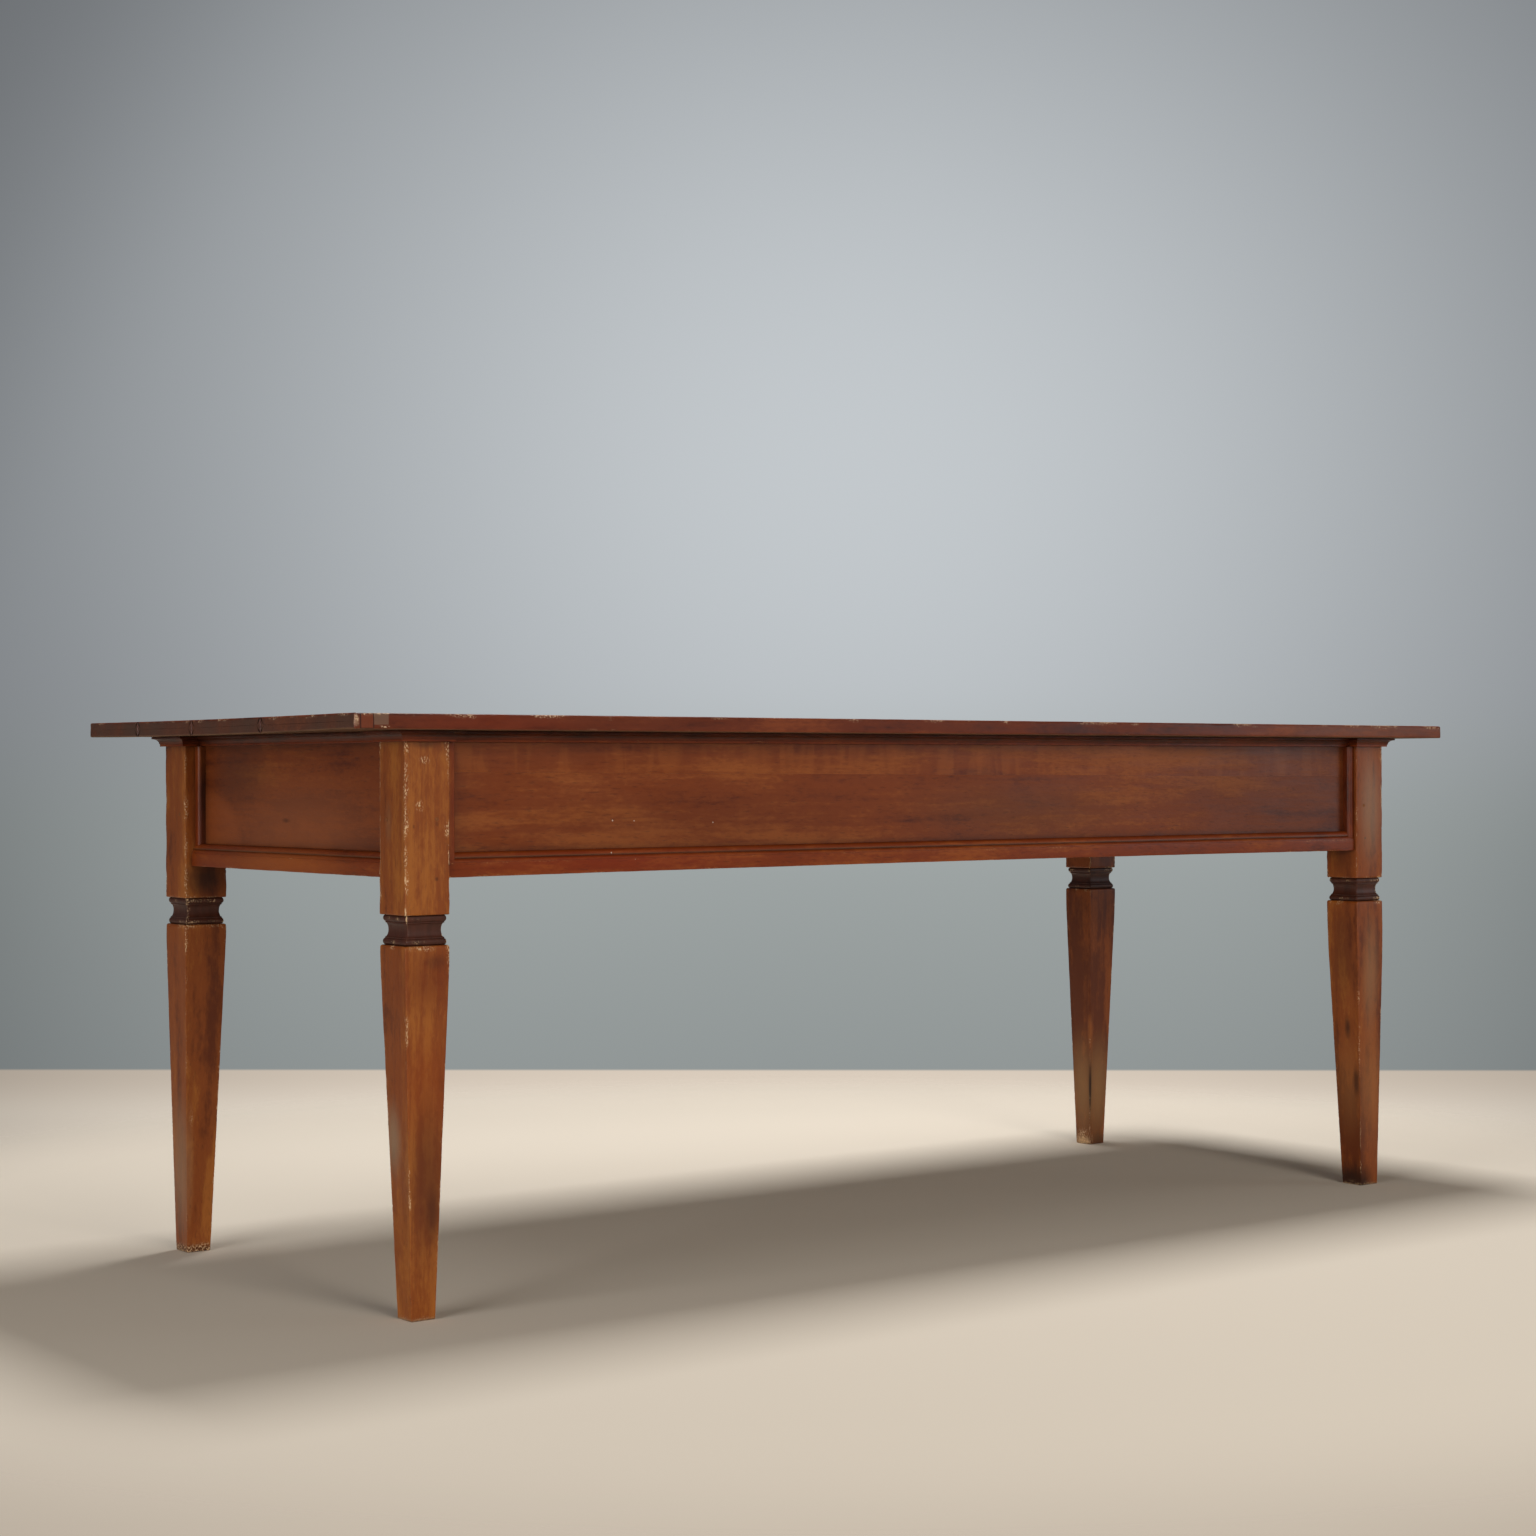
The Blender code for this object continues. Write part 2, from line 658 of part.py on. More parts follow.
# Inside the frame

def tail_outline(offset, root, tip, half_neck, half_tip):
    """A dovetail seen from above, from its narrow root to its wide tip."""
    return [(offset - half_neck, root), (offset + half_neck, root), (offset + half_tip, tip),
            (offset - half_tip, tip)]


def rail_offsets(side):
    """Where the cross rails meet a long apron, from the middle of its length."""
    place = RAIL_PLACE_SHARE * half_bay(side)
    return (-place, place)


def rail_housings(side):
    """The housings that the rails' dovetails drop into, in the side's own frame."""
    shape = bmesh.new()
    inner_face = apron_setback(side) + APRON_THICKNESS
    tip = inner_face - RAIL_TAIL_LENGTH - CLEARANCE
    half_tip = RAIL_THICKNESS / 2 + CLEARANCE
    half_neck = half_tip - RAIL_TAIL_FLARE
    foot = FRAME_TOP - RAIL_TAIL_HEIGHT - CLEARANCE
    for offset in rail_offsets(side):
        outline = [(offset - half_neck, inner_face + OVERRUN), (offset + half_neck, inner_face + OVERRUN)]
        outline += tail_outline(offset, inner_face, tip, half_neck, half_tip)[1:]
        outline.append((offset - half_neck, inner_face))
        add_rings(shape, [[(x, y, z) for x, y in outline] for z in (foot, FRAME_TOP + OVERRUN)])
    return shape


def make_cross_rails():
    """Rails from apron to apron whose dovetails drop into the aprons' upper edges."""
    inner_face = HALF_FRAME_DEPTH - SIDE_APRON_SETBACK - APRON_THICKNESS
    end = inner_face - CLEARANCE
    half = RAIL_THICKNESS / 2
    foot = FRAME_TOP - RAIL_HEIGHT
    for name, offset in zip(("left", "right"), rail_offsets("front")):
        shape = bmesh.new()
        add_box(shape, (offset - half, -end, foot), (offset + half, end, FRAME_TOP))

        def on_foot(edge):
            first, last = (vert.co for vert in edge.verts)
            low = abs(first.z - foot) < CLEARANCE and abs(last.z - foot) < CLEARANCE
            return low and abs(first.y - last.y) > CLEARANCE

        bevel_edges(shape, on_foot, RAIL_CHAMFER, 1)
        piece = add_piece("cross_rail_" + name, shape, PLAIN_WOOD)
        tails = bmesh.new()
        for sign in (-1, 1):
            neck = half - RAIL_TAIL_FLARE
            root = sign * (end - OVERRUN)
            outline = [(offset - neck, root), (offset + neck, root)]
            outline += tail_outline(offset, sign * inner_face, sign * (inner_face + RAIL_TAIL_LENGTH),
                                    neck, half)[1:]
            outline.append((offset - neck, sign * inner_face))
            levels = (FRAME_TOP - RAIL_TAIL_HEIGHT, FRAME_TOP)
            add_rings(tails, [[(x, y, z) for x, y in outline] for z in levels])
        join(piece, add_cutter("cross_rail_" + name + "_tails", tails))


def make_glue_blocks():
    """Blocks in the angle between the long aprons' inner faces and the top."""
    outline = [(0.0, 0.0), (BLOCK_SIZE, 0.0), (BLOCK_SIZE, -(BLOCK_SIZE - BLOCK_CHAMFER)),
               (BLOCK_SIZE - BLOCK_CHAMFER, -BLOCK_SIZE), (0.0, -BLOCK_SIZE)]
    for side in LONG_SIDES:
        inner_face = apron_setback(side) + APRON_THICKNESS + CLEARANCE
        for number, share in enumerate(BLOCK_PLACE_SHARES, start=1):
            offset = share * half_bay(side)
            shape = prism(outline, offset - BLOCK_LENGTH / 2, offset + BLOCK_LENGTH / 2,
                          lambda d, h, along, face=inner_face: (along, face + d, FRAME_TOP + h))
            add_piece("glue_block_" + side + "_" + str(number), shape, PLAIN_WOOD,
                      side_origin(side), turns_of(side))


def main():
    clear_scene()
    make_top_boards()
    make_legs()
    make_aprons()
    make_pegs()
    make_lower_mouldings()
    make_corner_strips()
    make_cornice()
    make_cross_rails()
    make_glue_blocks()


main()
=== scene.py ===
"""The looks of a long walnut table on square tapered legs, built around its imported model.

The file is laid out as a Blender add-on and runs as a script. The origin is on the floor under the
middle of the top. +X runs along the table to the right, +Y runs to the back and +Z is up.
Lengths are in metres.
"""

import math
from functools import partialmethod

import bpy
import numpy as np
from bpy.props import FloatProperty, FloatVectorProperty, PointerProperty
from mathutils import Matrix, Vector


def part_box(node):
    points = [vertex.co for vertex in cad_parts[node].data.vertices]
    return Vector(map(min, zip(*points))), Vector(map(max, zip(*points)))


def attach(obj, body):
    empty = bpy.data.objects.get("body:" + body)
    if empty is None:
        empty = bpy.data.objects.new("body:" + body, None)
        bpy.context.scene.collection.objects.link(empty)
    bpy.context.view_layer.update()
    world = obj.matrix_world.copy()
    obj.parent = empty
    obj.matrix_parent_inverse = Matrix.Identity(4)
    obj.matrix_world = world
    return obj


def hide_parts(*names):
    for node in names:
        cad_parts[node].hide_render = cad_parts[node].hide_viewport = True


bl_info = {
    "name": "Walnut table looks",
    "version": (1, 0, 0),
    "blender": (4, 5, 0),
    "location": "3D View > Sidebar > Walnut table",
    "description": "Worn wooden pieces and finishes for a long walnut table",
    "category": "Object",
}

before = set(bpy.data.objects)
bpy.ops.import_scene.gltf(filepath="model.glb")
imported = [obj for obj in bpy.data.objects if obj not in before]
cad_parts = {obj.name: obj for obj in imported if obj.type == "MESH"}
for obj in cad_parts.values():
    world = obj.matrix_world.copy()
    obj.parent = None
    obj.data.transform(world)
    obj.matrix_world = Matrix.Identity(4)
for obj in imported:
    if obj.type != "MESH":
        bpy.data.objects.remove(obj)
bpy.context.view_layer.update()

MM = 0.001

# The sides of the frame, each a quarter turn from the one before: a side runs along its own +X
# and its outer face looks along its own -Y
SIDES = ("front", "right", "back", "left")
LONG_SIDES = ("front", "back")
LEGS = {
    "front_left": ("front", "left"),
    "front_right": ("right", "front"),
    "back_right": ("back", "right"),
    "back_left": ("left", "back"),
}
TOP_BOARDS = ("front", "middle_front", "middle_back", "back")

# What the frame gives
LEG_LOW, LEG_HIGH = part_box("leg_front_right")
LEG_WIDTH = LEG_HIGH.x - LEG_LOW.x
HALF_FRAME_LENGTH = LEG_HIGH.x
HALF_FRAME_DEPTH = -LEG_LOW.y
FRAME_TOP = LEG_HIGH.z
CORNICE_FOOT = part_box("cornice_front")[0].z
CLEARANCE = 0.3 * MM

# Neck and taper of a leg, as heights from the floor and as half widths
POST_FOOT = 0.5222
NECK_HEIGHT = 42.0 * MM
TAPER_TOP = POST_FOOT - NECK_HEIGHT
BEAD_HEIGHT = 8.8 * MM
BEAD_DEPTH = 2.7 * MM
BEAD_INSET = 2.8 * MM
FILLET_INSET = 4.8 * MM
FILLET_HEIGHT = 1.4 * MM
COVE_INSET = 8.0 * MM
SHOULDER_HEIGHT = 3.0 * MM
SHOULDER_DEPTH = 2.6 * MM
FOOT_CHAMFER = 1.5 * MM

# Each leg as it was planed by hand: the taper's width at its top and at the foot, the length over
# which it starts, and how far the foot leans along +X and along +Y
LEG_SHAPES = {
    "front_left": (65.6 * MM, 35.4 * MM, 35 * MM, (0.8 * MM, -0.6 * MM)),
    "front_right": (66.0 * MM, 41.0 * MM, 110 * MM, (6.0 * MM, -4.6 * MM)),
    "back_right": (65.6 * MM, 35.8 * MM, 60 * MM, (-2.0 * MM, 1.5 * MM)),
    "back_left": (65.6 * MM, 37.2 * MM, 30 * MM, (-4.4 * MM, 3.4 * MM)),
}

# Lower moulding: a flat, a small round, a groove and an ovolo
FLAT_HEIGHT = 19.3 * MM
FLAT_STEP = 0.8 * MM
ROUND_HEIGHT = 5.0 * MM
ROUND_DEPTH = 3.5 * MM
GROOVE_HEIGHT = 1.2 * MM
GROOVE_DEPTH = 1.6 * MM
OVOLO_HEIGHT = 7.5 * MM
OVOLO_DEPTH = 6.5 * MM

# Corner strips and cornice
STRIP_FLAT_WIDTH = 8.0 * MM
STRIP_ROUND_RADIUS = 5.0 * MM
STRIP_WIDTH = STRIP_FLAT_WIDTH + STRIP_ROUND_RADIUS
CORNICE_FOOT_FILLET = (6.2 * MM, 3.6 * MM)
CORNICE_COVE_START = 7.0 * MM
CORNICE_COVE_RADIUS = 7.2 * MM
CORNICE_TOP_FILLET = (15.5 * MM, 3.6 * MM)

# Names of what a mesh carries for its finish
KEPT_ATTRIBUTES = ("grain", "wear", "raw", "soil", "end_grain", "stain", "tone")


# Settings that a user would change

def length_setting(name, description, default):
    """A length that a user can set."""
    return FloatProperty(name=name, description=description, default=default, min=0.0, unit="LENGTH",
                         precision=4)


def power_setting(name, description, default):
    """A lamp's power that a user can set."""
    return FloatProperty(name=name, description=description, default=default, min=0.0, unit="POWER")


def colour_setting(name, description, default):
    """A colour that a user can set."""
    return FloatVectorProperty(name=name, description=description, default=default, subtype="COLOR",
                               size=3, min=0.0, max=1.0)


RUB_TEXT = "How far use has rubbed down the arrises"
CHIP_TEXT = "Depth of the chips along the arrises"


class TopSettings(bpy.types.PropertyGroup):
    edge: length_setting("Edge", "Radius of the eased outer edge of the top", 2.2 * MM)
    sag: length_setting("Sag", "How far the overhang at the left end has sagged", 2.6 * MM)
    rub: length_setting("Rub", RUB_TEXT, 0.6 * MM)
    chip: length_setting("Chips", CHIP_TEXT, 1.0 * MM)


class LegSettings(bpy.types.PropertyGroup):
    arris: length_setting("Arris", "Radius of the legs' upright corners", 0.9 * MM)
    rub: length_setting("Rub", RUB_TEXT, 0.8 * MM)
    chip: length_setting("Chips", CHIP_TEXT, 1.5 * MM)


class FrameSettings(bpy.types.PropertyGroup):
    bow: length_setting("Bow", "How far the front moulding's foot rises in its middle", 2.0 * MM)
    rub: length_setting("Rub", RUB_TEXT, 0.4 * MM)
    chip: length_setting("Chips", CHIP_TEXT, 0.7 * MM)


class StageSettings(bpy.types.PropertyGroup):
    floor: colour_setting("Floor", "Colour of the floor", (0.78, 0.70, 0.59))
    wall: colour_setting("Backdrop", "Colour of the backdrop", (0.545, 0.579, 0.605))
    key: power_setting("Overhead lamp", "Power of the soft lamp overhead", 120.0)
    fill: power_setting("Front lamp", "Power of the lamp in front", 68.0)
    low_fill: power_setting("Low front lamp", "Power of the broad low lamp in front", 50.0)
    left: power_setting("Left lamp", "Power of the broad low lamp at the left end", 84.0)
    high_left: power_setting("High left lamp", "Power of the high lamp at the left", 16.0)
    side: power_setting("Side lamp", "Power of the weak lamp at the right", 26.0)


# Helpers for node trees and colours

def linear(code):
    """A scene linear colour from an sRGB hex code."""
    values = [int(code[i:i + 2], 16) / 255 for i in (0, 2, 4)]
    return tuple(v / 12.92 if v <= 0.04045 else ((v + 0.055) / 1.055) ** 2.4 for v in values)


class Nodes:
    """Adds nodes to a tree, whose inputs are values or the outputs of other nodes."""

    def __init__(self, tree):
        tree.nodes.clear()
        self.tree = tree

    def add(self, kind, inputs=None, **settings):
        """Add a node, set its settings, and give its inputs a value or a link."""
        made = self.tree.nodes.new(kind)
        for key, value in settings.items():
            setattr(made, key, value)
        for key, value in (inputs or {}).items():
            socket = made.inputs[key]
            if isinstance(value, bpy.types.NodeSocket):
                self.tree.links.new(value, socket)
            elif socket.type == "RGBA" and len(value) == 3:
                socket.default_value = (*value, 1.0)
            else:
                socket.default_value = value
        return made

    def maths(self, operation, *values):
        """Maths on numbers."""
        return self.add("ShaderNodeMath", dict(enumerate(values)), operation=operation).outputs[0]

    plus = partialmethod(maths, "ADD")
    minus = partialmethod(maths, "SUBTRACT")
    times = partialmethod(maths, "MULTIPLY")
    times_plus = partialmethod(maths, "MULTIPLY_ADD")
    over = partialmethod(maths, "DIVIDE")
    larger = partialmethod(maths, "MAXIMUM")

    def vector(self, operation, first, second=None, third=None):
        """Vector maths. Its output is a number where the operation gives one."""
        inputs = {0: first, "Scale" if operation == "SCALE" else 1: second, 2: third}
        inputs = {key: value for key, value in inputs.items() if value is not None}
        made = self.add("ShaderNodeVectorMath", inputs, operation=operation)
        return made.outputs["Value" if operation in ("LENGTH", "DOT_PRODUCT") else 0]

    def rise(self, value, low, high, first=0.0, last=1.0):
        """A smooth step from a first value at the low end to a last one at the high end."""
        return self.add("ShaderNodeMapRange", {"Value": value, "From Min": low, "From Max": high,
                                               "To Min": first, "To Max": last},
                        interpolation_type="SMOOTHSTEP").outputs[0]

    def mix(self, share, first, second):
        """A mix of two colours."""
        return self.add("ShaderNodeMix", {0: share, 6: first, 7: second}, data_type="RGBA").outputs[2]


# Outlines of pieces

def arc(centre, radii, first, last, steps):
    """Points along an ellipse's arc as (a, b, ease) with no ease, its angles in quarter turns."""
    points = []
    for i in range(steps + 1):
        angle = (first + (last - first) * i / steps) * math.pi / 2
        points.append((centre[0] + radii[0] * math.cos(angle), centre[1] + radii[1] * math.sin(angle), 0.0))
    return points


def rectangle(low, high, eases):
    """The corners of a rectangle, each with its ease, from the low corner round by the second axis."""
    return [(low[0], low[1], eases[0]), (high[0], low[1], eases[1]),
            (high[0], high[1], eases[2]), (low[0], high[1], eases[3])]


# How an arris is eased, where points stand beside it, over what its wear fades, and where the rings lie
# that close an end in view
EASE_STEPS = 3
NEAR_ARRIS = (1.1 * MM, 2.6 * MM, 5.0 * MM)
ARRIS_FADE = 4.0 * MM
CAP_SHARES = (0.05, 0.15, 0.35, 0.65, 0.95)
CAP_REACH = 10 * MM


def section(outline, spacing):
    """Points round a closed outline of (y, z, ease), as arrays of what each point carries."""
    count = len(outline)
    points, weights = [], []
    for i, (y, z, ease) in enumerate(outline):
        here = Vector((y, z))
        before = Vector(outline[i - 1][:2])
        after = Vector(outline[(i + 1) % count][:2])
        if ease <= 0.0:
            points.append(here)
            weights.append(0.0)
            continue
        first = here + (before - here).normalized() * min(ease, (before - here).length * 0.45)
        last = here + (after - here).normalized() * min(ease, (after - here).length * 0.45)
        for step in range(EASE_STEPS + 1):
            t = step / EASE_STEPS
            points.append(first * (1 - t) ** 2 + here * (2 * t * (1 - t)) + last * t ** 2)
            weights.append(1.0)
    places, arris = [], []
    total = len(points)
    for i in range(total):
        start, end = points[i], points[(i + 1) % total]
        run = (end - start).length
        marks = [d for d in NEAR_ARRIS if d < run * 0.45]
        reach = marks[-1] if marks else 0.0
        inner = run - 2 * reach
        steps = max(1, round(inner / spacing))
        stops = [0.0] + marks + [reach + inner * k / steps for k in range(1, steps)]
        stops += [run - d for d in reversed(marks)]
        for d in stops:
            places.append(start + (end - start) * (d / run))
            near = weights[i] * math.exp(-d / ARRIS_FADE)
            far = weights[(i + 1) % total] * math.exp(-(run - d) / ARRIS_FADE)
            arris.append(max(near, far))
    places = np.array(places)
    following = np.roll(places, -1, axis=0) - places
    side = np.stack([following[:, 1], -following[:, 0]], axis=1)
    side /= np.linalg.norm(side, axis=1)[:, None]
    outward = side + np.roll(side, 1, axis=0)
    outward /= np.linalg.norm(outward, axis=1)[:, None]
    nxt = np.roll(places, -1, axis=0)
    area = np.sum(places[:, 0] * nxt[:, 1] - nxt[:, 0] * places[:, 1])
    low, high = places.min(axis=0), places.max(axis=0)
    middle = min(high - low) / 2
    core = np.clip(places, low + middle, high - middle)
    return {"places": places, "outward": outward * np.sign(area), "arris": np.array(arris), "core": core}


def stations(x, **given):
    """Stations of a path: where each lies, what the section does there, and what the wood has met and what
    shade is painted on it there.
    """
    path = {name: np.zeros(len(x)) for name in ("inset", "cap", "mitre", "end_sign", "edge", "soil",
                                                "end_grain", "stain")}
    path["size"] = np.ones(len(x))
    path["wear"] = np.ones(len(x))
    path.update(given, x=np.asarray(x))
    return path


def straight_path(start, end, spacing, ease=0.0, mitres=(0, 0)):
    """Stations along a straight length. With an ease its ends are in view, eased and closed by rings."""
    steps = max(2, round((end - start - 2 * ease) / spacing))
    lead = []
    if ease:
        lead = [(0.0, ease, share) for share in reversed(CAP_SHARES)]
        angles = [k / EASE_STEPS * math.pi / 2 for k in range(EASE_STEPS, 0, -1)]
        lead += [(ease * (1 - math.sin(a)), ease * (1 - math.cos(a)), 0.0) for a in angles]
    run = [(x, 0.0, 0.0) for x in np.linspace(start + ease, end - ease, steps + 1)]
    rows = [(start + d, i, c) for d, i, c in lead] + run + [(end - d, i, c) for d, i, c in reversed(lead)]
    x, inset, cap = (np.array(column) for column in zip(*rows))
    near_start = np.exp(-(x - start) / ARRIS_FADE)
    near_end = np.exp(-(end - x) / ARRIS_FADE)
    share = (x - start) / (end - start)
    path = stations(x, inset=inset, cap=cap, mitre=-mitres[0] * (1 - share) + mitres[1] * share)
    if ease:
        path["end_sign"] = near_end - near_start
        path["edge"] = np.maximum(near_start, near_end) * np.exp(-cap * CAP_REACH / ARRIS_FADE)
        path["end_grain"] = np.where(inset > ease * 0.5, 1.0, 0.0)
    return path


# The tree that turns a path and a section into a worn length of wood

# Sizes of the rubbed patches, of the chips and of the waves that a hand plane leaves
RUB_SIZE = 24 * MM
CHIP_SIZE = 3.2 * MM
WAVE_SIZE = 45 * MM
WAVE_DEPTH = 0.12 * MM

# The values of the noises between which rubbing, a chip and a cluster of chips begin and are full
RUB_RANGE = (0.35, 0.70)
CHIP_LEVEL = 0.78
CHIP_EDGE = 0.10
CLUSTER_RANGE = (0.40, 0.62)
CLUSTER_SIZE = 9.0


def worn_length_tree():
    """Geometry nodes that run a section along a path, then rub and chip its arrises."""
    tree = bpy.data.node_groups.new("worn_length", "GeometryNodeTree")
    n = Nodes(tree)
    tree.interface.new_socket("Geometry", in_out="INPUT", socket_type="NodeSocketGeometry")
    for name in ("Rub Depth", "Rub Size", "Chip Depth", "Chip Size", "Chip Share", "Wave Depth",
                 "Wave Size", "Wear Share", "Seed"):
        tree.interface.new_socket(name, in_out="INPUT", socket_type="NodeSocketFloat")
    tree.interface.new_socket("Material", in_out="INPUT", socket_type="NodeSocketMaterial")
    tree.interface.new_socket("Geometry", in_out="OUTPUT", socket_type="NodeSocketGeometry")
    given = n.add("NodeGroupInput").outputs

    def read(name, kind="FLOAT"):
        return n.add("GeometryNodeInputNamedAttribute", {"Name": name}, data_type=kind).outputs[0]

    def noise(place, size, seed_shift, detail):
        return n.add("ShaderNodeTexNoise", {"Vector": place, "W": n.plus(given["Seed"], seed_shift),
                                            "Detail": detail, "Scale": n.over(1.0, size)},
                     noise_dimensions="4D").outputs[0]

    def without(geometry, names):
        return n.add("GeometryNodeRemoveAttribute", {"Geometry": geometry, "Name": names},
                     pattern_mode="WILDCARD").outputs[0]

    def store(geometry, name, value, kind="FLOAT"):
        return n.add("GeometryNodeStoreNamedAttribute", {"Geometry": geometry, "Name": name, "Value": value},
                     data_type=kind, domain="POINT").outputs[0]

    wires = n.add("GeometryNodeSeparateGeometry",
                  {"Geometry": given["Geometry"], "Selection": read("is_section", "BOOLEAN")}, domain="POINT")
    line = n.add("GeometryNodeMeshToCurve", {"Mesh": without(wires.outputs[1], "section_*")})
    loop = n.add("GeometryNodeMeshToCurve", {"Mesh": without(wires.outputs[0], "path_*")})
    tube = n.add("GeometryNodeCurveToMesh", {"Curve": line.outputs[0], "Profile Curve": loop.outputs[0],
                                             "Fill Caps": True})

    x, size, inset = (read("path_" + name) for name in ("x", "size", "inset"))
    cap, mitre, end_sign = (read("path_" + name) for name in ("cap", "mitre", "end_sign"))
    place, core, outward = (read("section_" + name, "FLOAT_VECTOR") for name in ("places", "core", "outward"))
    drawn_in = n.vector("SUBTRACT", n.vector("SCALE", place, size), n.vector("SCALE", outward, inset))
    drawn_in = n.add("ShaderNodeMix", {0: cap, 4: drawn_in, 5: core}, data_type="VECTOR").outputs[1]
    depth = n.add("ShaderNodeSeparateXYZ", {0: place}).outputs[1]
    along = n.minus(x, n.times(mitre, depth))
    clean = n.vector("ADD", drawn_in, n.add("ShaderNodeCombineXYZ", {0: along}).outputs[0])

    # Wear is strongest on the arrises and fades over a few millimetres
    open_share = n.maths("POWER", n.minus(1.0, cap), 4.0)
    rim = n.times(read("path_edge"), read("section_rim"))
    broad = n.larger(n.times(read("section_arris"), open_share), rim)
    broad = n.times(broad, read("path_wear"))
    arris = n.maths("POWER", broad, 3.0)
    rub = n.rise(noise(clean, given["Rub Size"], 0.0, 2.0), *RUB_RANGE)
    chip_low = n.minus(CHIP_LEVEL, given["Chip Share"])
    chip = n.rise(noise(clean, given["Chip Size"], 7.0, 2.0), chip_low, n.plus(chip_low, CHIP_EDGE))
    clusters = n.rise(noise(clean, n.times(given["Chip Size"], CLUSTER_SIZE), 13.0, 0.0), *CLUSTER_RANGE)
    chipped = n.times(n.times(chip, clusters), n.maths("POWER", arris, 0.7))
    wave = n.times(noise(clean, given["Wave Size"], 19.0, 1.0), given["Wave Depth"])
    loss = n.plus(n.times(n.times(arris, rub), given["Rub Depth"]), n.times(chipped, given["Chip Depth"]))
    inward = n.vector("SCALE", outward, n.times(n.plus(loss, wave), -1.0))
    backward = n.add("ShaderNodeCombineXYZ", {0: n.times(n.times(loss, end_sign), -1.0)}).outputs[0]
    worn = n.vector("ADD", clean, n.vector("ADD", inward, backward))

    # The place before wear is the wood's own place, and the rest says how the finish has aged there and where
    # shade is painted on it
    shown = n.times(broad, n.plus(n.times(rub, 0.55), 0.45))
    wear = n.maths("MINIMUM", n.plus(shown, n.times(chipped, 0.5)), 1.0)
    end_grain = read("path_end_grain")
    geometry = store(tube.outputs[0], "grain", clean, "FLOAT_VECTOR")
    # The darkening stored here stands for grime and for painted shade in corners, creases and under the
    # cornice
    for name, value in (("wear", n.times(wear, given["Wear Share"])),
                        ("soil", n.larger(n.times(read("section_soil"), open_share), read("path_soil"))),
                        ("raw", n.times(read("section_raw"), n.minus(1.0, end_grain))),
                        ("end_grain", end_grain), ("stain", read("path_stain"))):
        geometry = store(geometry, name, value)
    geometry = n.add("GeometryNodeSetPosition", {"Geometry": geometry, "Position": worn}).outputs[0]
    geometry = without(without(geometry, "path_*"), "section_*")
    geometry = n.add("GeometryNodeRealizeInstances", {"Geometry": geometry}).outputs[0]
    dressed = n.add("GeometryNodeSetMaterial", {"Geometry": geometry, "Material": given["Material"]})
    n.add("NodeGroupOutput", {0: dressed.outputs[0]})
    return tree


def set_inputs(modifier, values):
    """Give a geometry nodes modifier its inputs by the sockets' identifiers."""
    for item in modifier.node_group.interface.items_tree:
        if item.in_out == "INPUT" and item.name in values:
            modifier[item.identifier] = values[item.name]


def wire_mesh(name, path, outline):
    """A mesh of two wires, the path and the section, that carries what the tree reads."""
    first, corners = len(path["x"]), len(outline["places"])
    total = first + corners
    made = bpy.data.meshes.new(name)
    places = [(x, 0.0, 0.0) for x in path["x"]] + [(0.0, y, z) for y, z in outline["places"]]
    edges = [(i, i + 1) for i in range(first - 1)]
    edges += [(first + i, first + (i + 1) % corners) for i in range(corners)]
    made.from_pydata(places, edges, [])
    flags = made.attributes.new("is_section", "BOOLEAN", "POINT")
    flags.data.foreach_set("value", [i >= first for i in range(total)])
    for prefix, owner, start in (("path_", path, 0), ("section_", outline, first)):
        for label, values in owner.items():
            in_plane = values.ndim == 2
            data = np.zeros((total, 3) if in_plane else total, np.float32)
            data[start:start + len(values), ...] = np.insert(values, 0, 0.0, axis=1) if in_plane else values
            kind, field = ("FLOAT_VECTOR", "vector") if in_plane else ("FLOAT", "value")
            made.attributes.new(prefix + label, kind, "POINT").data.foreach_set(field, data.ravel())
    return made


def face_outwards(mesh):
    """Turn a closed mesh's faces round if they look inwards."""
    mesh.calc_loop_triangles()
    places = np.zeros(len(mesh.vertices) * 3)
    mesh.vertices.foreach_get("co", places)
    places = places.reshape(-1, 3)
    corners = np.zeros(len(mesh.loop_triangles) * 3, int)
    mesh.loop_triangles.foreach_get("vertices", corners)
    a, b, c = (places[corners.reshape(-1, 3)[:, i]] for i in range(3))
    if np.einsum("ij,ij->i", a, np.cross(b, c)).sum() < 0:
        mesh.flip_normals()


# How far each piece's wood lies from the one before in the noises that draw the grain
GRAIN_SHIFT = (0.37, 0.61, 0.23)


def piece_number(node):
    """A number that belongs to a node, for its seed and its shift in the grain."""
    return sorted(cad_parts).index(node)


